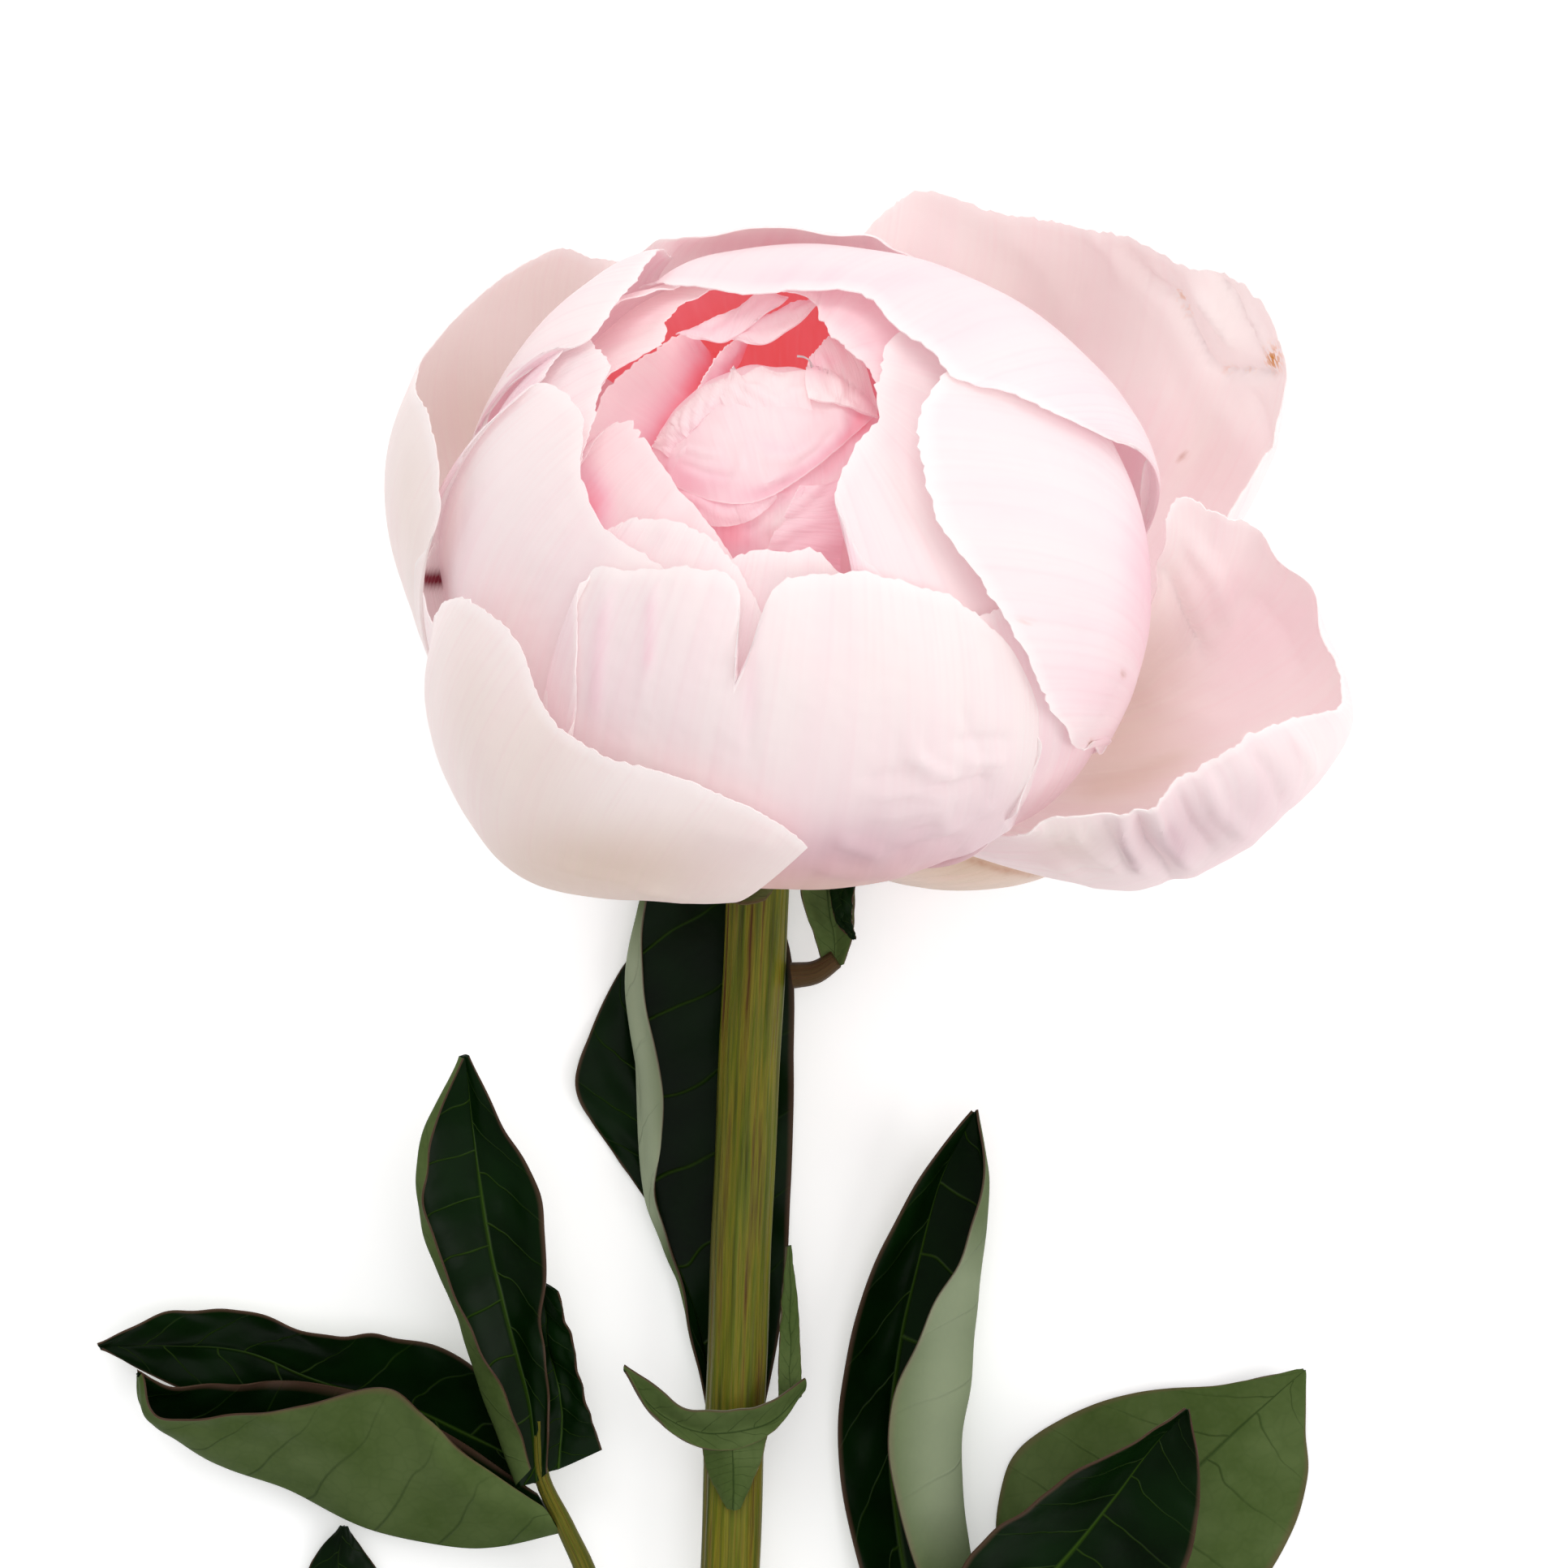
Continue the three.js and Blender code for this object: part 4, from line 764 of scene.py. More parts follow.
GLOBE = {
    "globe_top": {
        "claw": [62, 118, 44.6, 44.6],
        "bulge": [1.6, 1, 0.6],
        "rim": [
            at(21, 33.8, 28), at(16.8, 36.8, 37), at(13, 38.6, 44), at(10, 40.3, 49), at(5, 40.7, 51),
            at(-5, 41.6, 51), at(-10, 40.5, 50), at(-14, 40.2, 45), at(-17, 39.4, 38), at(-21, 36.5, 29),
        ],
        "pink": ([0.2, 0.12, 0.06], [0.4, 0.3, 0.1]),
        # Pink and cream along the inside of the rim: painted shade.
        "tints": [("pink", (-2, 39.4), (14, 2), 0.3, 1), ("cream", (-2, 39.4), (15, 3), 0.25, 1)],
    },
    "globe_front": {
        "claw": [228, 296, 42.2, 41.2],
        "bulge": [0.3, 0.3, -0.6, -1, -0.4, 0.3, 0.4],
        "rim": [
            on(-26.8, -22, 41.4), on(-26.3, -13, 41.4), on(-25.2, -1.2, 41.3), on(-20, -1.1, 41.2),
            on(-14, -0.7, 41.1), on(-9, -1.3, 41), on(-5, -1.9, 41), on(1, -1.8, 41), on(10, -1.5, 41),
            on(18, -3.8, 41.2), on(26, -9.5, 41.4), on(30.3, -18, 41.8), on(30.5, -22, 41.7),
            on(26.5, -30.5, 41.9),
        ],
        "notches": [((-4.4, -2), 0.8, 0.11), ((-4.3, -2), 2.0, 0.05)], "columns": 210, "lines": 120,
        "tuck": 0.6,
        "pink": ([0.3, 0.14, 0.0], [0.4, 0.3, 0.15]),
        "folds": [
            ([(-23, -2), (-24.2, -12), (-24.5, -20)], 0.9, 0.35),
            ([(-17.5, -2), (-18, -9), (-18.4, -18)], 0.9, 0.3),
            ([(-5.2, -12), (-5.3, -17), (-5.6, -24)], 0.9, -0.3), ([(14, -24), (20, -27)], 0.8, 0.63),
            ([(16, -28.5), (20, -27.6), (25, -27)], 0.8, -0.72), ([(10, -31.5), (18, -30)], 0.8, 0.72),
            ([(17, -33.5), (21, -31.5), (25, -29.5)], 0.8, 0.90),
            ([(12, -36.5), (16, -35.2), (21, -34)], 0.8, -0.72),
            ([(19, -22.5), (27, -22)], 0.9, -0.54), ([(5, -34), (11, -36)], 0.9, 0.72),
            ([(20, -36), (24, -33.5), (27, -31.5)], 0.7, 0.90), ([(8, -27), (15, -26)], 0.9, -0.54),
            ([(13, -33.8), (18, -32.6), (23, -30.4)], 0.6, -0.54),
            ([(2, -37.4), (8, -38.4), (14, -37.8)], 0.8, 0.63),
            ([(9, -29.4), (14, -28.4), (20, -29.2)], 0.6, 0.54), ([(21, -25), (26, -24.6)], 0.6, 0.54),
            ([(13, -20), (17, -27), (19, -34)], 0.9, 0.25),
            ([(20, -17), (23, -24), (23.6, -30)], 0.9, -0.25),
        ],
        # Pink along the folds, and pink, cream and mauve low at the front: painted shade.
        "tints": [
            ("pink", [(-23, -4), (-24, -12), (-24.3, -20)], 0.9, 0.22, 0),
            ("pink", [(-17.5, -4), (-18, -14)], 0.8, 0.26, 0), ("pink", (-5.2, -17), (1.2, 4), 0.16, 0),
            ("mauve_shade", (17, -31), (11, 5), 0.28, 0), ("pink", (6, -39), (18, 5), 0.5, 0),
            ("cream", (6, -40.4), (18, 4.4), 1.0, 0), ("mauve_shade", (8, -36), (14, 4), 0.7, 0),
            ("pink", (-20, -14), (5, 7), 0.08, 0), ("mauve_shade", (24, -30), (3, 4), 0.2, 0),
        ],
    },
    "globe_right": {
        "claw": [4, 34, 42.7, 41],
        "belly": [
            ball(-9, 62, 45), ball(-4, 72, 46), ball(2, 83, 46.5), ball(6, 92, 46), ball(12, 90, 44),
            ball(14, 60, 42.8),
        ],
        "rim": [
            at(39.3, -21.4, 46), at(38, -23.8, 47.6), on(36.5, -22.5, 44.5), on(36, -23.2, 44.3),
            on(34.9, -23.2, 44), on(33.8, -22.2, 43.8), on(33.6, -21.2, 43.8), on(31.7, -18.6, 43.6),
            on(28.5, -12, 43.4), on(25, -6, 43.1), on(21, 0, 42.8), on(17.5, 5, 42.6), on(15.8, 10, 42.4),
            on(15.5, 19, 42.2), on(20, 24, 41.5), on(28, 24, 41.5), on(36, 16, 42.4), at(42, 8, 48),
        ],
        "pink": ([0.34, 0.2, 0.1], [0.4, 0.3, 0.2]),
        "notches": [((30.4, -16.6), 0.4, 0.008), ((26, -8), 0.4, 0.006)], "columns": 210, "curl": 0.0,
        "folds": [
            ([(36, -22.5), (37.5, -15), (38.5, -7)], 0.8, 0.3),
            ([(33, -20), (34.5, -12), (35, -4)], 0.9, -0.2),
            ([(38.4, -20), (40.5, -14)], 0.5, -0.2), ([(17, 17), (24, 15), (32, 14)], 1.6, -0.3),
        ],
        "tints": [
            ("pink", (43, -2), (3, 12), 0.22, 0), ("pink", (36, -16), (5, 6), 0.12, 0),
            ("brown", (40.5, -14), (0.3, 0.4), 0.5, 0), ("brown", (28.5, -7.5), (0.6, 0.25), 0.3, 0),
            ("brown", (36.5, -22.4), (0.25, 0.4), 0.7, 0),
        ],
    },
    "globe_upper_right": {
        "claw": [42, 98, 42.8, 41],
        "belly": [
            ball(25, 55, 46), ball(26, 85, 47), ball(34, 95, 45.2), ball(53, 95, 41.5),
            ball(74, 90, 40.6),
            ball(94, 70, 40.8),
        ],
        "bulge": [2.4, 1.6, 0.5, 0, -0.8, -1.5, -1.2],
        "rim": [
            at(43, 8, 40), at(43.3, 12.2, 47), on(41, 14, 45), on(33, 18, 44.9), on(26, 21.2, 44.4),
            on(19.5, 23, 43.2), on(17, 26, 42.4), on(13, 29, 41.4), on(7, 33.5, 39.8), on(0, 33.5, 38.9),
            on(-5, 33.2, 38.6), on(-12, 34, 38.8), on(-16, 34.5, 39.3), at(-19, 34.2, 41),
        ],
        "pink": ([0.26, 0.22, 0.14], [0.4, 0.3, 0.2]),
        "folds": [
            ([(22, 22.4), (27, 20.8)], 0.5, -0.3), ([(-8, 36), (2, 36.5), (14, 33.5)], 1.2, 0.25),
            ([(16, 30), (26, 26), (35, 20)], 2, -0.25),
        ],
        # Pink in the crease of the fold by the rim: painted shade.
        "tints": [("pink", [(22, 22.2), (27, 20.6)], 0.5, 0.35, 0), ("pink", (4, 35), (16, 1.5), 0.12, 0)],
    },
    "globe_upper_left": {
        "claw": [110, 162, 42.6, 41],
        "bulge": [0.5, 1, 1, 0.5],
        "rim": [
            at(-15.2, 37.8, 40), on(-16.9, 38.7, 42.4), on(-20, 34.5, 41.9), on(-22.2, 31.8, 41.6),
            on(-25, 28, 41.3), on(-30, 25.2, 41.3), on(-35.5, 22, 41.8), on(-37.8, 18.5, 42.1),
            at(-38.6, 12, 48),
        ],
        "pink": ([0.2, 0.1, 0.0], [0.5, 0.4, 0.3]),
    },
    "globe_left": {
        "claw": [170, 216, 43.4, 40.2],
        "bulge": [2.0, 2.0, 0.9, 0, 0, -0.3], "curl": -0.2,
        "rim": [
            at(-42.9, 7, 42), on(-41.2, 12, 44.4), on(-38.2, 16, 44), on(-34.4, 19.4, 43.4),
            on(-31, 22, 42.8),
            on(-28.3, 20.9, 42.2), on(-26, 18, 41.7), on(-26.2, 12, 41), on(-25.6, 9, 40.6),
            on(-24, 5, 40), on(-20.5, 2, 39.7), on(-15.5, -1.4, 39.4), on(-15, -7, 39.3),
            on(-17, -18, 39.3),
        ],
        "pink": ([0.06, 0.04, 0.0], [0.5, 0.4, 0.3]),
        "folds": [
            ([(-26.5, 14), (-31, 8), (-33, -2)], 2.5, 0.3), ([(-24, 5), (-26, 0), (-27, -8)], 1.5, -0.25),
        ],
        "tints": [("pink", (-41, 2), (3, 10), 0.12, 0)],
    },
    "globe_low_right": {
        "claw": [-70, -4, 39.6, 42],
        "bulge": [0, 0.6, 1.4, 1.6, 1.2],
        "rim": [
            on(14, -14, 39.2), on(20, -8, 39.4), on(27, -6, 40.6), on(33, -7, 41.8), on(38, -9, 42.6),
            at(41.2, -11, 46), at(43, -6, 44),
        ],
        "pink": ([0.3, 0.24, 0.2], [0.3, 0.2, 0.1]),
    },
}

INNER = {
    "inner_right": {
        "claw": [-28, 36, 38, 38.4],
        "bulge": [-0.4, 0],
        "rim": [
            on(15, -8, 37.7), on(11.2, -2, 37.8), on(8.5, 0.5, 37.9), on(5.3, 6.5, 38), on(5.2, 9.5, 38),
            on(8.5, 15.6, 38), on(10.2, 17.7, 38), on(10, 21, 38), on(11, 25.5, 38),
            on(13, 28.5, 38), on(18, 27, 38), on(24, 20, 38),
        ],
        "pink": ([0.4, 0.16, 0.06], [0.6, 0.5, 0.3]),
    },
    "inner_front_left": {
        "claw": [214, 258, 38.3, 38.3],
        "rim": [
            on(-25.5, -5, 37.9), on(-24.6, 2, 37.9), on(-22.8, 4, 37.9), on(-20, 5.3, 37.9),
            on(-15, 5, 37.9),
            on(-12.5, 4.3, 38), on(-10, 2.8, 38), on(-8, 0.5, 38), on(-6.5, -1.5, 38), on(-3, -8, 38),
        ],
        "pink": ([0.4, 0.16, 0.02], [0.6, 0.5, 0.3]),
    },
    "inner_front": {
        "claw": [240, 312, 37.4, 36.7],
        "rim": [
            on(-14, -6, 36.5), on(-9, -0.5, 36.5), on(-5.5, 1.3, 36.5), on(0, 1.3, 36.5),
            on(1.8, 1.8, 36.4),
            on(5.2, -0.8, 36.3), on(9, -5, 36), on(14, -12, 35.8),
        ],
        "pink": ([0.4, 0.16, 0.02], [0.6, 0.5, 0.3]),
    },
    "inner_left": {
        "claw": [160, 196, 39.6, 39.2],
        "rim": [
            on(-30.5, 22, 40.6), on(-28, 25.5, 40.6), on(-25.7, 27.3, 40.2), on(-24, 26, 39.8),
            on(-22.7, 24.5, 39.4), on(-23.8, 22, 39.2), on(-25.3, 16, 39), on(-27.5, 10, 38.2),
            on(-30, 7, 38.2),
        ],
        "pink": ([0.4, 0.16, 0.04], [0.6, 0.5, 0.3]),
    },
}

PETAL_THICKNESS = 0.5
RIM_THICKNESS = 0.16
RIM_JAG = 0.012
RIM_ONLY = 10
RIM_WAVES = [(0.35, 3, 11, 7), (0.22, 16, 40, 9), (0.2, 45, 90, 9)]
ROW_SPACING = 0.85
PLAIN_RAGGED = 0.6
PLAIN_RUFFLE = 0.1
MARKS = ("cream", "mauve_shade", "white", "brown", "amber", "red")


def marks_with(pink):
    """The values of a petal's points, all 0 but for pink."""
    return {"pink": pink, **{key: 0 * pink for key in MARKS}}


def petal_part(shape, seed, across, along, thickness=PETAL_THICKNESS, sway=0.2, curl=0.0):
    """A petal's sheet with its uneven rim, soft undulation and folds."""
    across, along = shape.get("columns", across), shape.get("lines", along)
    u = np.linspace(0, 1, across + 1)
    v = np.linspace(0, 1, along + 1) ** ROW_SPACING
    uu, vv = np.meshgrid(u, v, indexing="ij")
    jag = sum(
        strength * waves(seed + number, u, 0, fewest, most, count)
        for number, (strength, fewest, most, count) in enumerate(RIM_WAVES)
    )
    reach = 1 + RIM_JAG * shape.get("ragged", PLAIN_RAGGED) * (jag[:, None] - 0.4) * vv**RIM_ONLY
    rim_seen = seen(Curve(shape["rim"]).at_share(u))
    for place, width, depth in shape.get("notches", []):
        away = np.linalg.norm(rim_seen - np.array(place), axis=-1)
        reach = reach - depth * np.exp(-((away / width) ** 2))[:, None] * vv**RIM_ONLY
    grid = petal_grid(shape, u, vv * reach)
    normals = outward(grid)
    spots = seen(grid)
    lift = sway * waves(seed + 3, uu, vv, 0.6, 2.2) * np.sin(np.pi * np.minimum(vv, 1)) ** 0.7
    lift = lift + 0.05 * waves(seed + 4, uu * 1.2, vv * 0.4, 5, 9) * vv
    ruffle = waves(seed + 5, u, 0, 4, 11, 7)[:, None] * vv**14
    lift = lift + shape.get("ruffle", PLAIN_RUFFLE) * ruffle + shape.get("curl", curl) * vv**8
    lift = folded(lift, spots, shape.get("folds", []))
    lift = lift - shape.get("tuck", 0.0) * np.clip(1 - np.minimum(uu, 1 - uu) * 12, 0, 1) ** 2
    grid = grid + normals * lift[..., None]
    grid[..., 2] = np.maximum(grid[..., 2], thickness / 2 + LOWEST)
    normals = outward(grid)
    rim_near = np.minimum(np.minimum(uu, 1 - uu) * 8, (1 - vv) * 6)
    width = RIM_THICKNESS + (thickness - RIM_THICKNESS) * np.clip(rim_near, 0, 1)
    sides = []
    for side, values in enumerate(shape["pink"]):
        layer = marks_with(blend_list(values, vv))
        for value, place, size, strength, which in shape.get("tints", []):
            if which in (side, 2):
                layer[value] = layer[value] + strength * near(spots, place, size)
        sides.append(layer)
    return grid, normals, width, np.stack([uu, vv], -1), *sides


# Each group's slot, first seed, cells, undulation and curl of the rim
for group, slot, first_seed, cells, sway, curl in (
    (GUARDS, "guard_petals", 100, (130, 78), 0.22, 0.0),
    (GLOBE, "globe_petals", 300, (112, 64), 0.12, -0.6),
    (INNER, "inner_petals", 500, (72, 44), 0.1, -0.5),
):
    for number, (name, shape) in enumerate(group.items()):
        part = petal_part(shape, first_seed + 10 * number, *cells, sway=sway, curl=curl)
        attach(sheet_mesh(name + "_fine", [part], [PETAL_OUTER, PETAL_INNER]), name)


# The heart: small petals round a crumpled core, over a coral hollow

HEART_PETALS = [
    {"claw": [104, 150, 36.4, 37], "pink": ([0.35, 0.2, 0.06], [0.42, 0.2, 0.02]), "rim": [
        on(-9, 33.6, 37), on(-13, 33.8, 37.6), on(-18, 32.8, 39.2), on(-22, 31.4, 39.7),
        on(-25.6, 27.5, 38.3), on(-26, 22, 37.7)]},
    {"claw": [108, 170, 35, 35], "pink": ([0.26, 0.12, 0.0], [0.3, 0.14, 0.0]), "ragged": 0.7, "rim": [
        on(-5, 32.8, 36), on(-9.2, 33.3, 36.4), on(-12.5, 32, 36.4), on(-15.2, 30.7, 36.4),
        on(-15.6, 28, 36.3), on(-17, 26, 36.2), on(-22.8, 22.6, 36.2), on(-25, 18, 35.8)],
        "folds": [([(-24, 25.6), (-19, 28.6), (-14, 31.6)], 0.8, -0.5), ([(-23, 24), (-18, 25.8)], 0.5, 0.3)],
        # Pink along the crease of the fold: painted shade.
        "tints": [("pink", [(-24, 26.4), (-19, 29.6), (-13, 32.8)], 0.7, 0.16, 0)]},
    {"claw": [8, 84, 35, 35], "pink": ([0.8, 0.6, 0.2], [0.8, 0.6, 0.2]), "rim": [
        on(14, 13, 35.4), on(11, 19, 35.6), on(9, 23.5, 35.8), on(4.7, 27.3, 36), on(3.3, 29.5, 36),
        on(2.3, 31.8, 36), on(-2, 33.4, 36.2)]},
    {"claw": [186, 262, 34.6, 34], "pink": ([0.8, 0.6, 0.02], [0.9, 0.6, 0.3]), "rim": [
        on(-27, 7, 36), on(-26.1, 12, 35.8), on(-22.1, 16.9, 35.6), on(-19.2, 17, 35.3),
        on(-18.2, 15, 35.2),
        on(-15, 10, 34.9), on(-10, 4, 34.6), on(-6, -2, 34.4)],
        "ragged": 0.2,
        "notches": [((-20.8, 17.2), 0.5, 0.009), ((-19.1, 16.7), 0.4, 0.016), ((-18.5, 15.6), 0.3, 0.01)],
        "tints": [
            ("pink", (-24.4, 7.5), (3, 4.6), 0.6, 0),
            ("pink", [(-17, 11), (-12, 5), (-8, 0)], 2.4, -0.5, 0),
            ("pink", (-19, 9), (5, 7), -0.42, 0), ("pink", (-22, 14), (3, 3), -0.4, 0),
        ],
        "folds": [([(-24, 13), (-20, 8), (-14, 2)], 1.6, 0.35)]},
]

# Sheets given by rows, each seen from its rim down: (x, y, height), or for those over the core
# (x, y, lift above its surface)
DRAPES = [
    {"name": "left", "pink": [0.08, 0.24, 0.58, 0.95], "rows": [
        [(-26.1, 10.5, 65.4), (-25.5, 15, 64), (-23.4, 20.3, 62.8), (-19.9, 24, 61.8), (-17, 26, 61),
         (-13.6, 27.9, 60), (-11.9, 27.6, 59)],
        [(-23.5, 9, 63.6), (-22, 13.5, 62), (-19.5, 17.5, 60.6), (-16.5, 20.8, 59.4), (-14, 23.2, 58.4),
         (-12, 25.2, 57.4), (-11, 26.4, 56.8)],
        [(-20, 7, 60), (-18.2, 11.5, 58.4), (-15.5, 15, 57), (-13, 18, 56), (-11.4, 21, 55),
         (-10.6, 23.6, 54), (-10.4, 25.8, 53.4)],
        [(-16, 5, 56), (-14.5, 9, 54), (-12.5, 13, 52.6), (-10.5, 16, 51), (-9.6, 19.6, 50),
         (-9.4, 22.6, 49.4), (-9.6, 25.4, 49)],
    ], "tints": [((-11.6, 21.6), (2.6, 5), 0.3), ((-14.6, 15), (2.6, 4), 0.3),
    ((-12, 27), (1.6, 1.4), 0.2)]},
    # The hollow, a coral sheet deep in the opening, takes the heart's painted coral glow.
    {"name": "hollow", "pink": [0.85, 0.95, 1.0], "rows": [
        [(-24, 23, 52), (-18, 29, 50.5), (-10, 34, 50), (-2, 34.8, 51), (4, 33.6, 54), (9, 29, 57)],
        [(-20, 20, 49), (-15, 24.6, 48.4), (-9, 29, 48), (-2, 29.4, 48.6), (4, 28, 50), (9, 24, 53)],
        [(-14, 12, 46), (-12, 18, 46), (-8, 22, 46.4), (-2, 22, 46.6), (3, 21, 47.4), (8, 16, 49)],
    ]},
    {"name": "thin", "pink": [0.2, 0.45, 0.7], "rows": [
        [(-12.4, 18, 64), (-12, 20.4, 64.4), (-10.6, 23.4, 64), (-8.6, 25.9, 63), (-6.4, 27.5, 61.6)],
        [(-12, 18, 62.4), (-11, 20.3, 62.2), (-9.5, 22.6, 61.4), (-7.7, 24.9, 60.4), (-6, 27.2, 59.4)],
        [(-11.6, 18, 60), (-10.2, 20, 59), (-8.6, 21.8, 58), (-6.9, 24.3, 57), (-5.4, 26.9, 56)],
    ]},
    {"name": "strip", "torn": 0.3, "pink": [0.2, 0.3, 0.16], "rows": [
        [(-14.6, 27.9, 61.2), (-11.5, 29, 61.6), (-7.1, 31, 61.6), (-4.1, 32.9, 61), (-0.6, 32.5, 60.4)],
        [(-14, 27.9, 62.2), (-11.5, 28.1, 62.6), (-8, 29.2, 62.8), (-4.8, 31, 62.4), (-1, 31.9, 61.6)],
        [(-13.4, 27.6, 62.8), (-11.4, 27.2, 63.4), (-9, 26.8, 63.8), (-6.9, 27.7, 63.6), (-3.2, 30.6, 62.6)],
    ]},
    {"name": "strip_low", "torn": 0.4, "pink": [0.34, 0.22, 0.1], "rows": [
        [(-8.8, 27, 61.6), (-5, 29.2, 61.8), (-0.6, 31.5, 61.4), (2.6, 32.2, 60.6)],
        [(-8, 27.1, 62.8), (-5, 28.2, 63.2), (-1, 30, 62.8), (2.6, 31.8, 61.6)],
        [(-6.8, 27.3, 63.4), (-3.7, 26.6, 64.2), (-0.4, 28.4, 64), (2.7, 31.4, 62.6)],
    ]},
    {"name": "flap", "torn": 0.4, "pink": [0.14, 0.06, 0.02, 0.0], "core": True, "rows": [
        [(1.9, 24.7, 3.4), (3.1, 26, 3.8), (4.7, 27.4, 4.6), (7.2, 27, 5)],
        [(1.4, 22.6, 3), (3.9, 23.4, 3.2), (6.6, 23.8, 4), (9.2, 22.4, 4.4)],
        [(1.6, 20.8, 2.6), (4.8, 20.4, 2.6), (7, 20, 3), (10.2, 19, 3.2)],
        [(1.8, 19.8, 2.2), (4.8, 19.2, 2.2), (7, 18.6, 2.4), (10.3, 17.3, 2.6)],
    ], "folds": [([(3, 25.6), (5, 22), (6, 19.4)], 0.5, 0.3), ([(6, 25.4), (8, 21.6)], 0.5, -0.3)],
     "tints": [((2.6, 23.6), (1, 1.4), 0.25), ((4.6, 24.6), (1.4, 0.9), 0.2), ((9, 19.6), (1.4, 2), 0.2)]},
    {"name": "frill_low", "pink": [0.0, 0.05, 0.3], "core": True, "rows": [
        [(-17.4, 13.8, 1.6), (-16.4, 15.6, 1.4), (-14.8, 17.4, 1.6), (-12.8, 19, 1.2)],
        [(-16.4, 13.4, 1.6), (-15.6, 14.9, 1.6), (-14.1, 16.5, 1.6), (-12.3, 17.9, 1.2)],
        [(-15.4, 12.6, 0.4), (-14.6, 13.8, 0.3), (-13.2, 15.2, 0.3), (-11.6, 16.6, 0.2)],
    ]},
    {"name": "frill_high", "pink": [0.0, 0.05, 0.2], "core": True, "rows": [
        [(-15.2, 17, 1.8), (-13.4, 19, 1.8), (-11.2, 21, 1.9), (-8.6, 22.2, 1.8)],
        [(-14.4, 16.2, 1.8), (-12.7, 18.1, 1.8), (-10.5, 20, 1.8), (-8.1, 21.2, 1.7)],
        [(-13.2, 15, 0.5), (-11.6, 16.8, 0.4), (-9.6, 18.6, 0.4), (-7.4, 19.8, 0.4)],
    ]},
    {"name": "torn_top", "pink": [0.0, 0.05, 0.12], "core": True, "rows": [
        [(-9.8, 21.4, 1.6), (-8, 22.4, 1.8), (-7.4, 23.6, 2.2), (-6.4, 22.6, 1.8), (-4, 23.6, 1.7),
         (-1.6, 23, 1.6), (2, 23.2, 1.6)],
        [(-9.2, 20.2, 1.6), (-7.8, 20.8, 1.8), (-6.8, 21.2, 1.8), (-5.6, 21.2, 1.8), (-3.6, 21.3, 1.7),
         (-1.4, 21, 1.6), (1.8, 21, 1.5)],
        [(-8, 18, 0.3), (-6.8, 18.4, 0.3), (-5.6, 18.4, 0.3), (-4.4, 18.4, 0.3), (-2.8, 18.4, 0.3),
         (-0.6, 18.2, 0.3), (2.4, 18, 0.3)],
    ]},
    {"name": "core_top", "pink": [0.24, 0.16, 0.14, 0.16], "core": True, "torn": 0.12, "folds": [
        ([(-12, 17), (-7, 18.6), (-2, 18), (3, 16)], 0.9, 0.35),
        ([(-10, 13), (-6, 15.4), (-1, 15)], 0.8, -0.35),
        ([(-4, 12.2), (0, 12.4), (3.6, 14.6)], 0.6, 0.35),
        ([(-4.3, 8.8), (-2.5, 9.8), (-0.7, 10.4)], 0.35, 0.35),
        ([(3.6, 20), (5.4, 18), (6.4, 15.6)], 0.6, 0.4),
        ([(-14, 12), (-10.5, 10.6), (-7, 10.2)], 0.5, -0.35),
        ([(-13.6, 13.8), (-11, 13), (-8.6, 12.8)], 0.4, 0.3),
        ([(0, 11.6), (2.6, 13.4), (5, 16)], 0.5, -0.3),
        ([(-8, 9), (-6.6, 11), (-6.4, 13)], 0.5, 0.25), ([(-2, 19.6), (1.6, 18.6), (5, 18.4)], 0.5, -0.3),
    # Pink along its rim and at its folds: painted shade.
    ], "tints": [
        ([(8.4, 17.6), (6, 14.6), (3, 12.2), (0.2, 10.2), (-3, 8.4), (-7, 7.8)], 1.0, 0.26),
        ((8, 18), (2, 3), 0.3), ((-11, 9.8), (3.4, 1.8), 0.24), ((-14.6, 11.4), (1.6, 2), 0.2),
        ((-5, 17), (6, 3), -0.08), ([(-5, 14.6), (-1, 13.4), (3, 14.4)], 1.0, 0.1),
        ((-3, 20.6), (4, 1), 0.1),
    ], "rows": [
        [(9.6, 17.4, 0.5), (6.4, 14.5, 0.6), (3.2, 11.8, 0.7), (0.5, 9.8, 0.7), (-2.8, 7.8, 0.7),
         (-6, 6.9, 0.6), (-10.5, 7.4, 0.5), (-15.4, 9.4, 0.3)],
        [(9, 18.8, 0.5), (5.4, 16.6, 0.7), (2, 14.2, 0.8), (-0.8, 12.4, 0.8), (-3.8, 10.8, 0.8),
         (-7, 10, 0.7), (-11, 10.6, 0.6), (-15.4, 12, 0.3)],
        [(8.4, 20.2, 0.4), (4.8, 19, 0.5), (1.2, 17.6, 0.6), (-2, 16.2, 0.6), (-5, 15, 0.6),
         (-8, 14, 0.5), (-11.6, 13.8, 0.4), (-15.2, 13.8, 0.2)],
        [(7.6, 22.4, 0.2), (4, 22, 0.2), (0.4, 21.6, 0.2), (-3, 21, 0.2), (-6.4, 20, 0.2),
         (-9.4, 18.6, 0.1), (-12.2, 16.8, 0), (-14.6, 15, 0)],
    ]},
    {"name": "core_left", "pink": [0.26, 0.34, 0.44], "core": True, "torn": 0.12, "rows": [
        [(-15.2, 6, 0.2), (-11, 4.4, 0.3), (-7.4, 4.2, 0.35), (-4.4, 5.4, 0.3), (-2, 7.6, 0.1)],
        [(-15.4, 7.6, 0.3), (-11.4, 6.4, 0.4), (-8, 6.2, 0.4), (-5, 7, 0.3), (-2.4, 8.6, 0.1)],
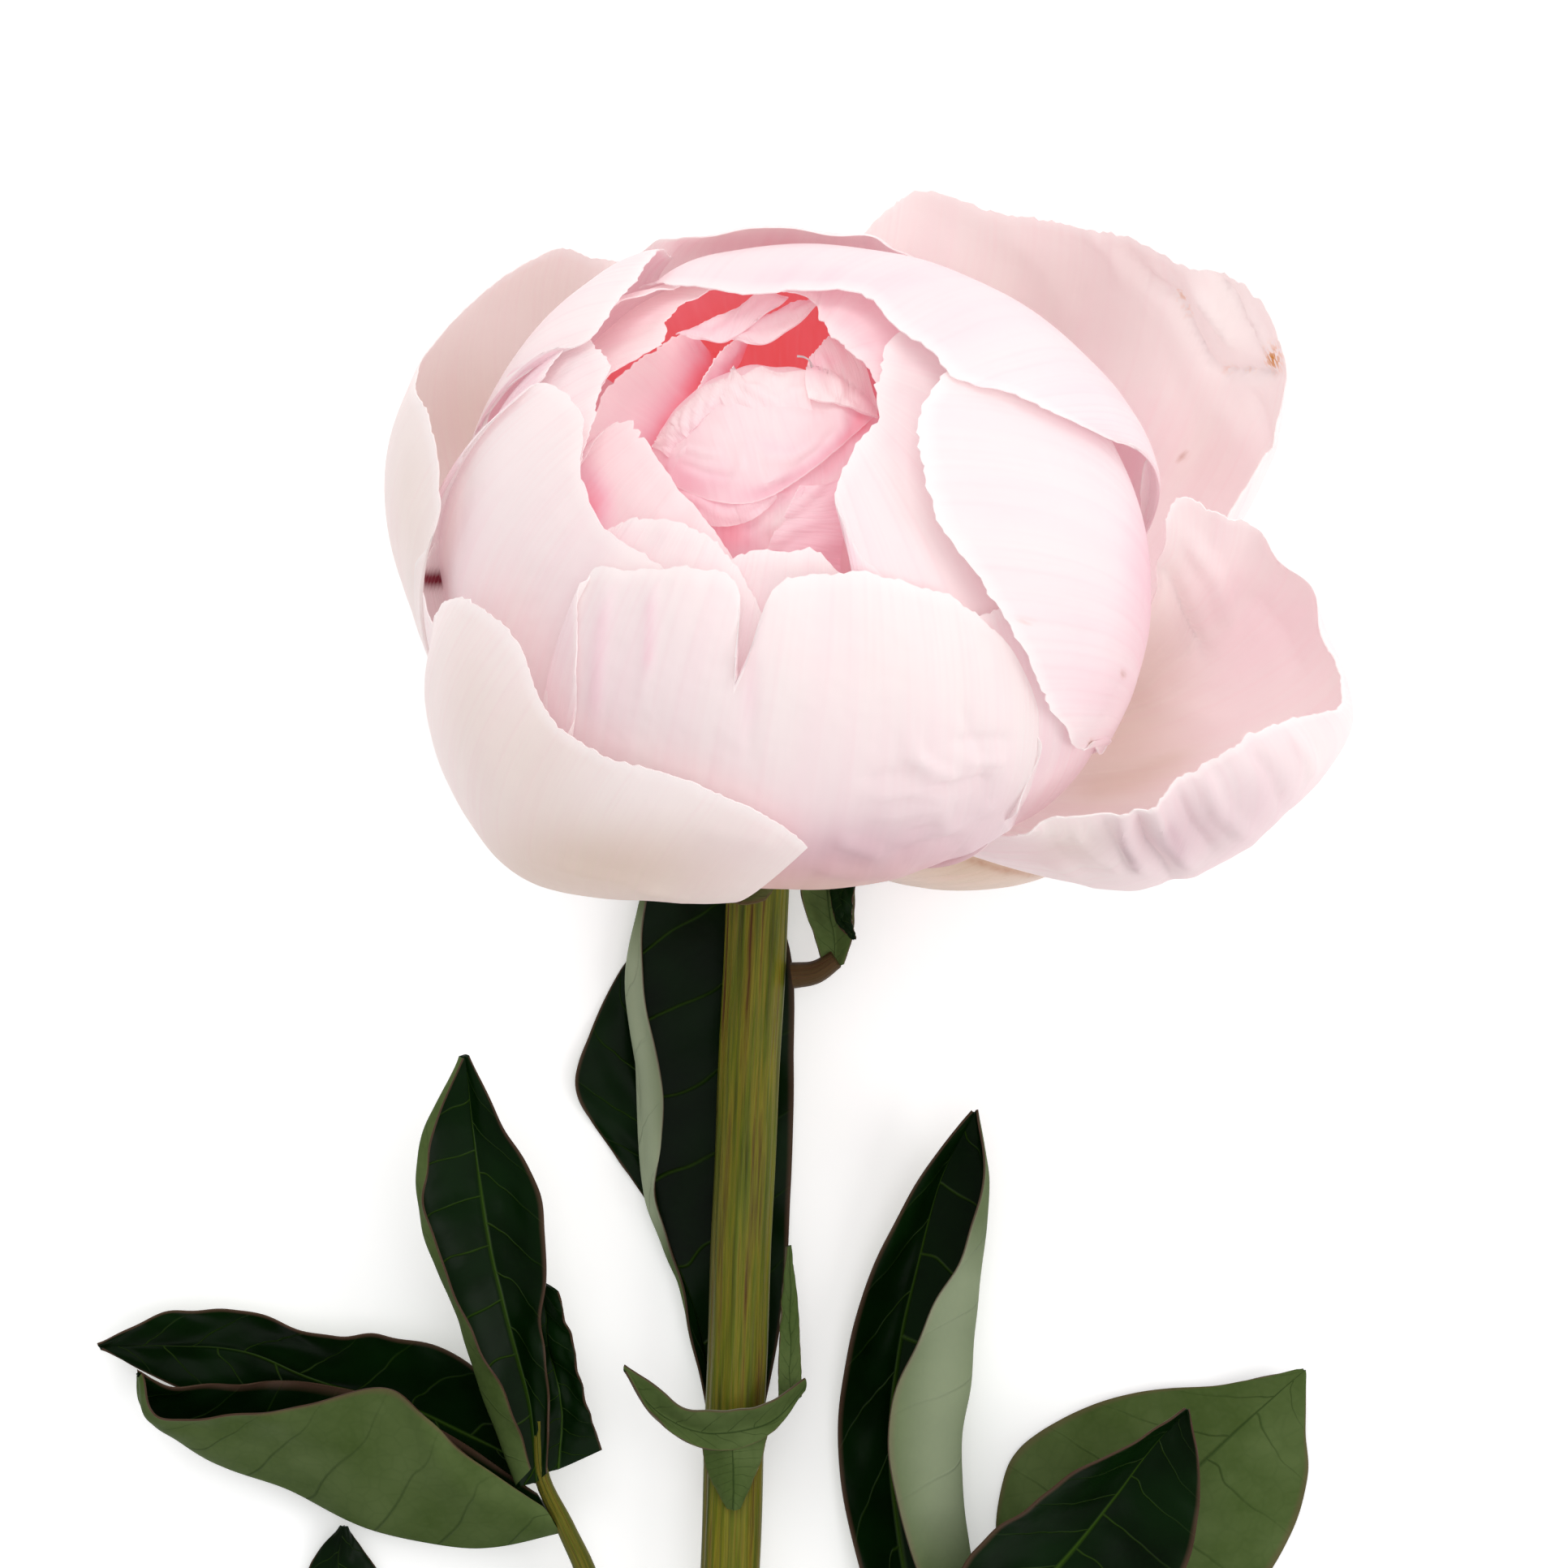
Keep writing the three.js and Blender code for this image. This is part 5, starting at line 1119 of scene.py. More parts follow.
        [(-15.6, 9.6, -0.2), (-11.8, 8.6, -0.2), (-8.4, 8.2, -0.2), (-5.6, 8.6, -0.2), (-3, 9.6, -0.2)],
    ]},
    {"name": "core_low", "pink": [0.26, 0.34, 0.46], "core": True, "torn": 0.12, "rows": [
        [(-4, -1, 0.3), (-2.4, 3.4, 0.35), (-0.9, 6, 0.45), (0.7, 9.2, 0.3)],
        [(-1, -1, 1.4), (0.9, 3.2, 1.0), (2.2, 5.8, 0.7), (3.2, 9.2, 0.5)],
        [(5.6, -2, 2.4), (6, 2.6, 1.5), (6.4, 6.2, 0.8), (6.6, 10.4, 0.3)],
    ]},
]
THREAD = [at(2.2, 23.8, 68), at(1.9, 24.6, 68.9), at(1.2, 25, 69.2), at(0.4, 25.1, 69.2)]


CORE_CENTRE = at(-2.2, 7.6, 62.0)
CORE_RADII = np.array([15.8, 16.2, 14.6])
ON_CORE_ROUNDS = 5
DRAPE_THICKNESS = 0.34
DRAPE_RIM_THICKNESS = 0.14


def on_core(spots, lift):
    """Places over the core, this far above its surface, from where they are seen."""
    height = np.full(spots.shape[:-1], CORE_CENTRE[2] + CORE_RADII[2])
    for _ in range(ON_CORE_ROUNDS):
        scale = ((EYE[2] - height) / EYE_DISTANCE)[..., None]
        flat = EYE[:2] + (spots - EYE[:2]) * scale
        share = (((flat - CORE_CENTRE[:2]) / CORE_RADII[:2]) ** 2).sum(-1)
        dome = CORE_RADII[2] * np.sqrt(np.maximum(1 - share, 0)) - 8 * np.maximum(share - 1, 0)
        height = CORE_CENTRE[2] + dome
    return np.concatenate([flat, (height + lift)[..., None]], -1)


def drape_part(drape, seed, across=56, along=28):
    """A sheet through rows of places, from its rim down."""
    share = np.linspace(0, 1, across + 1)
    over = drape.get("core")
    rows = [Curve([place if over else at(*place) for place in row]).at_place(share) for row in drape["rows"]]
    down = np.linspace(0, 1, along + 1)
    grid = np.array([Curve([row[k] for row in rows]).at_place(down) for k in range(across + 1)])
    if over:
        grid = on_core(grid[..., :2], grid[..., 2])
    uu, vv = np.meshgrid(share, down, indexing="ij")
    normals = facing(grid, UP)
    jag = (waves(seed, share, 0, 4, 14, 7) * 0.12 + waves(seed + 1, share, 0, 16, 40, 9) * 0.1)[:, None]
    fall = unit(np.gradient(grid, axis=1))
    torn = drape.get("torn", 0.7) * 2 * jag * (1 - vv) ** 6
    grid = grid - fall * torn[..., None]
    spots = seen(grid)
    lift = 0.16 * waves(seed + 2, uu * 1.5, vv, 0.6, 2.4)
    lift = folded(lift, spots, drape.get("folds", []))
    grid = grid + normals * lift[..., None]
    normals = facing(grid, UP)
    rim_near = np.minimum(np.minimum(uu, 1 - uu) * 8, vv * 6)
    width = DRAPE_RIM_THICKNESS + (DRAPE_THICKNESS - DRAPE_RIM_THICKNESS) * np.clip(rim_near, 0, 1)
    layer = marks_with(blend_list(drape["pink"], vv))
    for place, size, strength in drape.get("tints", []):
        layer["pink"] = layer["pink"] + strength * near(spots, place, size)
    return grid, normals, width, np.stack([uu * 0.4, 1 - vv], -1), layer, layer


# On the core: folds and, for tints, (place or line as seen, reach, strength)
CORE_CELLS = (100, 132)
CORE_FOLDS = [
    ([(7.6, 17.5), (6.6, 14.5), (4.4, 12), (1.2, 10.3), (-3.8, 8.3), (-9, 7.6), (-13, 8.2)], 1.6, -0.3),
    ([(5.2, 14), (3, 11.8), (0, 10.2)], 0.5, -0.35),
    ([(-15.6, 11.2), (-14, 12.6), (-12.6, 13.9)], 0.35, 0.5),
    ([(-14.4, 10), (-12, 8.8), (-8, 8), (-4, 8.6)], 0.6, -0.4),
    ([(-4.3, 7), (-2.5, 7.9), (-0.7, 8.3)], 0.4, 0.45),
    ([(-3.3, 3.3), (-1.4, 5.4), (0.4, 7.4), (1.6, 9.4)], 0.6, 0.55),
    ([(1.5, 2), (2, 5), (3, 8)], 0.6, 0.45),
    ([(-6.6, 3.2), (-4, 5), (-2, 6.4)], 0.6, -0.4), ([(0.4, 2.6), (1, 5.4), (2.4, 8.6)], 0.4, -0.35),
    ([(-12, 17), (-7, 18.6), (-2, 18), (3, 16)], 1.0, 0.4),
    ([(-10, 13), (-6, 15.4), (-1, 15)], 1.0, -0.3),
    ([(-12, 11.6), (-8.5, 12.8), (-6, 12.4)], 0.5, 0.3), ([(-4, 12.2), (0, 12.4), (3.6, 14.6)], 0.7, 0.3),
    ([(-8.8, 10.6), (-5.6, 10.2), (-3, 10.8)], 0.4, -0.25),
    ([(3.6, 20), (5.4, 18), (6.4, 15.6)], 0.7, 0.35),
]
# Pink along the rims of the sheets over the core and on its lower left: painted shade.
CORE_TINTS = [
    ([(8, 18), (6.6, 14), (4.4, 11.4), (1.2, 9.4), (-2.6, 7.2), (-6, 6.2)], 1.4, 0.36),
    ([(-15.3, 10.3), (-12, 8.8), (-10, 7.7), (-7.3, 6.7)], 1.8, 0.3), ((-8, 3), (4, 3.4), 0.5),
    ((8.8, 16.8), (1.8, 2.2), 0.5), ((-4, 16.5), (8, 5), -0.1), ((4.6, 1.2), (2, 2.6), 0.25),
    ((-15.4, 12), (1.8, 2), 0.3), ((-1, 4.6), (3, 2.4), -0.06),
]


def core_piece():
    """The core: a crumpled ball of packed petals."""
    rows, columns = CORE_CELLS
    rises, turns = np.linspace(0, np.pi, rows + 1), np.linspace(0, 2 * np.pi, columns + 1)
    rise, turn = np.meshgrid(rises, turns, indexing="ij")
    way = np.stack([np.sin(rise) * np.cos(turn), np.sin(rise) * np.sin(turn), np.cos(rise)], -1)
    grid = CORE_CENTRE + way * CORE_RADII
    spots = seen(grid)
    lift = 0.4 * waves(700, way[..., 0], way[..., 1], 0.3, 1.1) * np.sin(rise)
    lift = lift + 0.12 * waves(701, way[..., 0] + 0.6 * way[..., 1], way[..., 1], 1.5, 4)
    for line, width, height in CORE_FOLDS:
        lift = lift + height * near_line(spots, line, width) * (way[..., 2] > 0)
    grid = grid + way * lift[..., None]
    pink = 0.14 + 0.05 * waves(702, way[..., 0], way[..., 1], 0.8, 2.5)
    pink = pink + 0.35 * np.clip(0.35 - way[..., 2], 0, 1)
    for place, reach, strength in CORE_TINTS:
        pink = pink + strength * near(spots, place, reach)
    index = np.arange(grid.shape[0] * grid.shape[1]).reshape(grid.shape[:2])
    faces = np.stack([index[:-1, :-1], index[1:, :-1], index[1:, 1:], index[:-1, 1:]], -1).reshape(-1, 4)
    uv = (spots / MAP_LENGTH).reshape(-1, 2)
    points, kinds, values = grid.reshape(-1, 3), np.zeros(len(faces)), marks_with(pink.ravel())
    return make_mesh("heart_core", points, faces, [HEART_OUTER], kinds, uv, values)


HEART_CELLS = (72, 42)
HEART_THICKNESS = 0.4
THREAD_RADII = [0.16, 0.1, 0.14]


def build_heart():
    parts = [
        petal_part(shape, 600 + 10 * number, *HEART_CELLS, HEART_THICKNESS)
        for number, shape in enumerate(HEART_PETALS)
    ]
    parts += [drape_part(drape, 680 + 5 * number) for number, drape in enumerate(DRAPES)]
    attach(sheet_mesh("heart_fine", parts, [HEART_OUTER, HEART_INNER]), "heart")
    points, quads, caps, uv, values = rod_block(THREAD, THREAD_RADII, 8, 24)
    values = marks_with(values["pink"])
    thread = poly_mesh("heart_thread", points, np.concatenate([quads, caps]), HEART_OUTER, uv, values)
    for piece in (core_piece(), thread):
        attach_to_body(piece, "root")


# Stem, receptacle and sepals

def rod_points(path, radii, sides, rings, ridges=None):
    """Rings of points round a path, and how far along it each ring is."""
    curve = Curve(path)
    shares = np.linspace(0, 1, rings + 1)
    centre = curve.at_share(shares)
    along = unit(np.gradient(centre, axis=0))
    side = unit(np.cross(along, UP))
    other = np.cross(side, along)
    turn = np.linspace(0, 2 * np.pi, sides, endpoint=False)
    radius = blend_list(radii, shares)[:, None] * np.ones(sides)
    if ridges is not None:
        radius = radius + ridges(shares[:, None], turn[None, :])
    turned = turn[None, :, None]
    ring = side[:, None, :] * np.cos(turned) + other[:, None, :] * np.sin(turned)
    length = np.concatenate([[0], np.cumsum(np.linalg.norm(np.diff(centre, axis=0), axis=1))])
    return centre[:, None, :] + ring * radius[..., None], length


def rod_block(path, radii, sides, rings, ridges=None, pink=0.0, cream=0.0):
    """A rod's points, faces, map and values, its ends closed."""
    points, length = rod_points(path, radii, sides, rings, ridges)
    index = np.arange(points.shape[0] * sides).reshape(-1, sides)
    after = np.roll(index, -1, axis=1)
    faces = np.stack([index[:-1], after[:-1], after[1:], index[1:]], -1).reshape(-1, 4)
    flat = points.reshape(-1, 3)
    ends = np.stack([points[0].mean(0), points[-1].mean(0)])
    first, last = len(flat), len(flat) + 1
    cap = [(first, after[0, k], index[0, k], first) for k in range(sides)]
    cap += [(last, index[-1, k], after[-1, k], last) for k in range(sides)]
    round_it = np.linspace(0, 1, sides, endpoint=False)
    uv = np.stack(np.meshgrid(length / MAP_LENGTH, round_it, indexing="ij")[::-1], -1)
    uv = np.concatenate([uv.reshape(-1, 2), [[0, 0], [0, 1]]])
    count = len(flat) + 2
    values = {"pink": np.full(count, pink), "cream": np.full(count, cream)}
    return np.concatenate([flat, ends]), faces, np.array(cap), uv, values


def solid_mesh(name, blocks, material):
    """One mesh from rods and tubes."""
    points, faces, uvs, values, start = [], [], [], {"pink": [], "cream": []}, 0
    for block_points, quads, caps, uv, value in blocks:
        points.append(block_points)
        faces.append(quads + start)
        faces.append(caps + start)
        uvs.append(uv)
        for key in values:
            values[key].append(value[key])
        start += len(block_points)
    joined = np.concatenate(points)
    joined[:, 2] = np.maximum(joined[:, 2], LOWEST)
    return poly_mesh(name, joined, np.concatenate(faces), material, np.concatenate(uvs),
                     {key: np.concatenate(value) for key, value in values.items()})


def poly_mesh(name, points, faces, material, uv, values):
    """A mesh of faces that may name a corner twice, as the rods' end caps do."""
    lists = [tuple(dict.fromkeys(face)) for face in faces.tolist()]
    mesh = bpy.data.meshes.new(name)
    mesh.from_pydata((points * MM).tolist(), [], lists)
    mesh.materials.append(material)
    layer = mesh.uv_layers.new(name="petal")
    corners = np.array([corner for face in lists for corner in face])
    layer.uv.foreach_set("vector", uv[corners].astype(np.float32).ravel())
    return dress_mesh(mesh, values, ROD_EDGE)


build_heart()

STEM_NECK_RADIUS = 3.95
STEM_END_RADIUS = 3.5
STEM_PATH = [
    at(-10.6, -240, STEM_END_RADIUS), at(-10.2, -210, 4.2), at(-9.2, -165, 6.4), at(-7.8, -124, 7.8),
    at(-6.2, -80, 7.9), at(-4.9, -52, 7.7), at(-4.3, -40, 8.2),
]


def stem_ridges(share, turn):
    """Low ridges that wind slowly round the stem."""
    swirl = turn + 0.5 * share
    ridge = 0.09 * np.cos(9 * swirl) + 0.06 * np.cos(17 * swirl + 1) + 0.05 * np.sin(5 * swirl + 2)
    return ridge + 0.05 * np.sin(2 * np.pi * 9 * share + turn)


def along_axis(below):
    """A place on the bloom's axis, this far from its centre towards the stem."""
    return CENTRE - AXIS * below


# Where the sepals stand, in degrees round the axis
SEPALS = [63, 130, 194, 258, 356]
SEPAL_HALF = 24
SEPAL_THICKNESS = 0.8


def blade_grid(lines, across, along):
    """A leaf blade's middle surface, through the lines along it."""
    curves = [Curve([at(*place) for place in line]) for line in lines]
    rows = []
    for place in np.linspace(0, 1, along + 1):
        section = Curve([curve.at_place(place) for curve in curves])
        rows.append(section.at_place(np.linspace(0, 1, across + 1)))
    return np.array(rows)


def sepal_part(degrees, seed):
    """A small green leaf that holds the petals at their foot."""
    rim = [
        ball(degrees + side * SEPAL_HALF, 15 * (1 - 0.35 * side * side), 52)
        for side in (-1, -0.6, 0, 0.6, 1)
    ]
    shape = {
        "claw": [degrees - 30, degrees + 30, 49.6, 49.6], "rim": rim, "ruffle": 0.15,
        "pink": ([0, 0.05, 0.2], [0, 0.05, 0.2]),
    }
    grid, normals, width, uv, outer, inner = petal_part(shape, seed, 30, 20, SEPAL_THICKNESS)
    for layer in (outer, inner):
        layer["rib_width"] = 0 * layer["pink"] + 0.04
        layer["margin"] = uv[..., 1] ** 12
    return grid, normals, width, np.stack([uv[..., 0] * 2 - 1, uv[..., 1] * 0.5], -1), outer, inner


def build_stem():
    path, radii = [*STEM_PATH, along_axis(50)], [STEM_END_RADIUS, 3.75, STEM_NECK_RADIUS]
    stalk = rod_block(path, radii, 64, 170, stem_ridges)
    collar = rod_block([along_axis(53), along_axis(49)], [4, 5.2], 48, 8)
    cup = rod_block([along_axis(50), along_axis(36.6)], [3.9, 3.9], 48, 8, cream=0.6)
    piece = solid_mesh("stem_fine", [stalk, collar, cup], STEM_SKIN)
    attach(piece, "stem")
    sepals = sheet_mesh("sepals_fine", [sepal_part(d, 800 + d) for d in SEPALS], [LEAF_UNDER, LEAF_UNDER])
    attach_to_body(sepals, "root")


build_stem()


# Leaves. Each blade is lines along it, from one margin to the other, whose places are (x, y, height) as seen.
# "rib" is the share of the way across where its midrib runs, "top_up" says if its dark upper side faces the
# eye, "calm" makes it less uneven, "cells" are across and along, and "tints" are as for the petals.

LEAF_THICKNESS = 0.55
SIDE_VEINS = 8


def leaf_part(blade, seed):
    """A leaf blade's sheet, with its midrib sunk in and the skin raised between the side veins."""
    across, along = blade.get("cells", (32, 90))
    grid = blade_grid(blade["lines"], across, along)
    place = np.linspace(0, 1, across + 1)
    rib = blade.get("rib", 0.5)
    side = np.where(place < rib, (place - rib) / max(rib, 0.01), (place - rib) / max(1 - rib, 0.01))
    vv, ss = np.meshgrid(np.linspace(0, 1, along + 1), side, indexing="ij")
    towards = UP if blade.get("top_up", True) else -UP
    normals = facing(grid, towards)
    ends = np.sin(np.pi * vv) ** 0.6 * blade.get("calm", 1.0)
    lift = 0.35 * waves(seed, ss, vv * 3, 0.3, 1.2) * ends
    turn = vv * SIDE_VEINS - 1.04 * np.abs(ss) ** 1.25 + 0.25 * np.sign(ss)
    lift = lift + 0.16 * np.sin(2 * np.pi * turn) * np.minimum(np.abs(ss) * 3, 1) * (1 - np.abs(ss)) * ends
    lift = lift - 0.28 * np.exp(-((ss / 0.07) ** 2)) * ends
    lift = lift + 0.3 * waves(seed + 1, ss * 0.2, vv, 4, 9) * np.abs(ss) ** 4 * ends
    grid = grid + normals * lift[..., None]
    grid[..., 2] = np.maximum(grid[..., 2], LEAF_THICKNESS / 2 + LOWEST)
    normals = facing(grid, towards)
    width = LEAF_THICKNESS - 0.3 * np.abs(ss) ** 6
    margin = np.clip(1 - np.minimum(place, 1 - place) * 22, 0, 1)[None, :] * np.ones(vv.shape)
    spots = seen(grid)
    layers = []
    for side_number in range(2):
        layer = {"pink": 0 * vv, "cream": 0 * vv, "margin": margin, "rib_width": 0.02 + 0.05 * vv**1.5}
        for value, spot, size, strength, which in blade.get("tints", []):
            if which in (side_number, 2):
                layer[value] = layer[value] + strength * near(spots, spot, size)
        layers.append(layer)
    return grid, normals, width, np.stack([ss, vv], -1), layers[0], layers[1]


LEAVES = {
    "leaf_back": [
        {"rib": 0.34, "tints": [
            ("cream", [(-20, -42), (-19.6, -52), (-18.4, -66), (-17.6, -78), (-17, -86)], 2.6, 0.75, 1),
        ], "lines": [
            [(-10, -108.5, 2.8), (-13, -93, 3.6), (-16.8, -79, 4.6), (-16, -66, 6),
             (-18.8, -51, 5), (-17.6, -34, 2.8)],
            [(-9, -109, 1.6), (-12.2, -93, 1.8), (-17.8, -78, 2.4), (-19.4, -62, 2.8),
             (-19.9, -48, 2.8), (-15.6, -32.4, 1.6)],
            [(-7, -110, 1.2), (-6.8, -93, 1.4), (-8.6, -78, 1.8), (-9.6, -62, 2), (-10, -46, 2),
             (-13, -30.6, 1)],
            [(-4.8, -110, 1.6), (-1.4, -93, 2), (-0.4, -78, 2.2), (0, -62, 2.4), (-1, -46, 2.2),
             (-10, -31.8, 1.3)],
        ]},
        {"lines": [
            [(-9.6, -99, 0.8), (-13, -90, 0.6), (-17.5, -80, 0.6), (-22.6, -72.5, 0.7),
             (-26.9, -65, 1), (-25, -58, 1), (-21.4, -50.6, 0.8), (-18.6, -47, 0.7)],
            [(-7.4, -101, 0.9), (-10, -91, 0.7), (-13, -81, 0.6), (-16.4, -72.5, 0.6),
             (-18, -65, 0.6), (-18, -58, 0.6), (-17.8, -51, 0.6), (-17.8, -46.6, 0.6)],
            [(-6, -101, 0.9), (-7, -92, 0.7), (-8.5, -82, 0.6), (-10.6, -73, 0.6),
             (-12, -65, 0.6), (-13.4, -58, 0.6), (-15.2, -51, 0.6), (-17, -46.6, 0.6)],
        ]},
    ],
    "leaf_neck": [
        {"calm": 0.35, "top_up": False, "lines": [
            [(3.6, -50, 8.4), (2.6, -46.5, 9.2), (1.3, -43, 9.6), (1, -40, 9.4), (3.4, -38.6, 7.8),
             (8.2, -37.4, 6)],
            [(5, -50.2, 8), (5, -46.5, 8.2), (4.4, -43, 8.6), (4.2, -40, 8.6), (6, -38.2, 7),
             (8.6, -37.2, 5.6)],
            [(6.2, -49.8, 8.4), (7.2, -46.5, 9.2), (7.5, -43, 9.8), (7.6, -40, 9.8),
             (8.2, -38.6, 8), (9, -37.4, 6)],
        ]},
        {"cells": (24, 50), "calm": 0.35, "lines": [
            [(4.6, -39, 7.8), (4.5, -41, 10.8), (5.2, -44.5, 12), (7.2, -46.8, 12.4)],
            [(8, -39, 8.4), (7.4, -41, 11.4), (7.2, -44.5, 12), (7.7, -46.7, 12.4)],
        ]},
    ],
    "leaf_boat": [
        {"calm": 0.3, "top_up": False, "tints": [("cream", (-8, -105), (12, 4), 0.35, 0)], "lines": [
            [(-20.9, -99.2, 17.4), (-17, -101.8, 17), (-13.5, -104.4, 16.8), (-8, -104.7, 16.4),
             (-3, -103.8, 15.2), (1.4, -100.8, 12.4)],
            [(-20.8, -99.6, 17), (-17.6, -104, 15), (-13, -107, 14), (-8, -107.4, 13.6),
             (-3, -106, 12.8), (1.4, -101.6, 11.4)],
            [(-20.7, -100, 17.2), (-17.2, -105.6, 15.6), (-12, -109.2, 14.4), (-7.4, -109.6, 13.8),
             (-2.6, -107.4, 12.6), (1.2, -102.4, 10.8)],
        ]},
        {"cells": (30, 40), "calm": 0.3, "top_up": False, "tints": [
            ("cream", (-7.6, -112), (5, 6), 0.35, 0),
        ], "lines": [
            [(-11.4, -108.6, 13), (-10.6, -112.4, 11.6), (-8.2, -116.8, 12.2)],
            [(-7.6, -108.8, 13.4), (-7.4, -112.4, 13), (-7.4, -117, 12.7)],
            [(-3, -106.8, 12.2), (-4.2, -111.4, 12), (-6.6, -116.8, 12.3)],
        ]},
        {"cells": (20, 60), "calm": 0.3, "top_up": False, "tints": [
            ("cream", (-0.6, -95), (3, 12), 0.4, 0),
        ], "lines": [
            [(-1.8, -105, 12), (-1.9, -100, 10.4), (-1.6, -93, 9.2), (-0.9, -84.6, 8.4)],
            [(1, -103, 11.4), (0.9, -99, 9.6), (0.5, -92, 8.2), (-0.4, -84.4, 7.8)],
        ]},
    ],
    "leaf_left": [
        {"rib": 0.667, "lines": [
            [(-40.7, -61.4, 19.4), (-44.4, -70, 19), (-45.6, -78, 18.6), (-43.2, -86.8, 18),
             (-38.9, -96.2, 17), (-34.5, -105.5, 15), (-32.4, -112, 12.5)],
            [(-41, -61.2, 18.6), (-44.9, -70, 17.6), (-46.2, -78, 16.8), (-44, -86, 15.6),
             (-41, -95, 14), (-37.2, -105.3, 12), (-34, -114, 10.4)],
            [(-40.5, -61, 18.4), (-39.4, -70, 15.4), (-38.4, -78, 13.6), (-37, -86, 12.2),
             (-34.8, -95, 11), (-32.4, -104, 10), (-31.6, -113.5, 9.4)],
            [(-40, -61.2, 18.6), (-35.8, -70, 17), (-31.2, -78, 15.6), (-30.5, -86, 14.2),
             (-31, -94, 12.6), (-30.2, -103, 11), (-30.4, -112.5, 9.8)],
        ]},
        {"cells": (24, 60), "lines": [
            [(-33, -89, 9.6), (-34, -96, 8.2), (-33.4, -104, 7.6), (-31.6, -112.6, 8.4)],
            [(-31, -89, 10.4), (-30.2, -96.5, 8.2), (-28.6, -104.5, 7.4), (-29, -112, 8.2)],
            [(-29, -90.2, 11.2), (-27.4, -96, 10), (-25.3, -104.5, 8.6), (-23.6, -109.6, 8)],
        ]},
        {"lines": [
            [(-85.8, -96.6, 5), (-77, -92.9, 6), (-68, -92.5, 6.6), (-58, -95.5, 6),
             (-50, -95.6, 6.6), (-40, -99, 7), (-31.4, -110.6, 8.4)],
            [(-85.5, -96.9, 4.4), (-77, -96.7, 2.6), (-68, -97.6, 2), (-59, -100.8, 2),
             (-50, -103.6, 2.6), (-41, -107.4, 4), (-30.4, -112.4, 8.2)],
            [(-85.2, -97.2, 4.8), (-78, -101, 2), (-69, -104.6, 0.6), (-60, -108, 0.4),
             (-50, -110.4, 0.8), (-41, -112.4, 3), (-30, -114, 7.8)],
        ]},
        {"rib": 0.34, "top_up": False, "cells": (48, 90), "lines": [
            [(-80.9, -99.8, 15), (-77, -101.6, 10.4), (-69, -101.5, 8.6), (-61, -101.3, 8.2),
             (-52, -103, 8), (-42, -108, 8), (-31.6, -115, 8.2)],
            [(-80.7, -100.4, 14), (-79.9, -104.8, 8.6), (-71.5, -110, 5.6), (-62, -114.4, 4.6),
             (-51, -118.8, 4.6), (-40, -121.6, 5.6), (-28.8, -119.6, 7.4)],
            [(-80.5, -100.6, 14.4), (-79.2, -106, 11), (-70.5, -108, 11.6), (-60, -108.6, 13.4),
             (-49.5, -111.6, 14.6), (-40, -115.6, 13), (-29.6, -118.4, 9.4)],
            [(-80.3, -100.2, 15), (-78.2, -105.8, 13.6), (-70, -105.5, 15.6), (-60, -104, 18.4),
             (-49, -102.4, 20.6), (-41.5, -109.3, 17.6), (-31, -116.6, 10)],
        ]},
        {"lines": [
            [(-55.8, -119, 3), (-59.6, -124, 1), (-60.4, -132, 0.5), (-54, -141, 0.7),
             (-43, -147.6, 2), (-25.4, -148.4, 5)],
            [(-55.4, -119, 3.6), (-56, -125, 2.4), (-53, -133, 2), (-47, -139.6, 2.2),
             (-38.6, -144, 3), (-25, -146.8, 5)],
            [(-55, -119.1, 3), (-52, -123.4, 1.2), (-46.6, -130, 0.8), (-41, -135.4, 1.2),
             (-35, -140, 2.6), (-24.8, -145.2, 5)],
        ]},
    ],
    "leaf_right": [
        {"rib": 0.3, "cells": (48, 100), "tints": [
            ("cream", [(22, -80), (19, -95), (18, -110), (20, -125)], 6, 0.5, 1),
        ], "lines": [
            [(22, -67.9, 11.4), (16, -75.5, 8), (10.5, -85.5, 5.6), (6.6, -97, 4), (5.6, -108, 3.4),
             (7.2, -121, 3.6), (12, -136, 4), (18.6, -150, 5)],
            [(22.1, -68.1, 10.8), (18.6, -76, 5.6), (16, -86, 3), (13.6, -97, 1.4), (12.4, -108, 1),
             (13.6, -121, 1.4), (16.4, -136, 2.6), (19.6, -151, 4.8)],
            [(22.4, -68.1, 10.8), (23.6, -76, 7), (22.9, -86, 7), (21.6, -97, 7.6),
             (20.7, -108, 7.8), (21.6, -121, 7.6), (22.4, -136, 6.6), (20.8, -152, 5.2)],
            [(22.6, -67.7, 11.6), (23.3, -77, 10.6), (20.3, -86.5, 13), (15.1, -97, 15.4),
             (11.4, -109, 16.2), (14.3, -121.5, 14.6), (18.4, -135, 10.6), (20.2, -150.6, 6.4)],
        ]},
        {"top_up": False, "lines": [
            [(62.7, -99.6, 4.4), (53, -101.6, 2.4), (42, -102.6, 1.4), (33, -105.8, 1),
             (27, -110.5, 1.2), (25, -118, 1.2), (25.4, -130, 2), (22, -146, 5.4)],
            [(62.9, -99.8, 4.4), (57.5, -104.5, 4.2), (50.5, -111, 4.4), (43.5, -118, 4.4),
             (37.5, -125, 4.4), (32.4, -132, 4.4), (28, -139, 4.6), (21.6, -148, 5.6)],
            [(63.1, -99.8, 4.4), (63, -107, 2.4), (63.3, -113, 1.2), (60.8, -121, 0.5),
             (55.4, -129, 0.5), (47, -137, 1), (37, -143.4, 2.4), (21.8, -149.6, 5.4)],
        ]},
        {"lines": [
            [(48.2, -104.5, 14.6), (42.4, -108.4, 17), (34, -112.9, 18.4), (28, -117.6, 18.8),
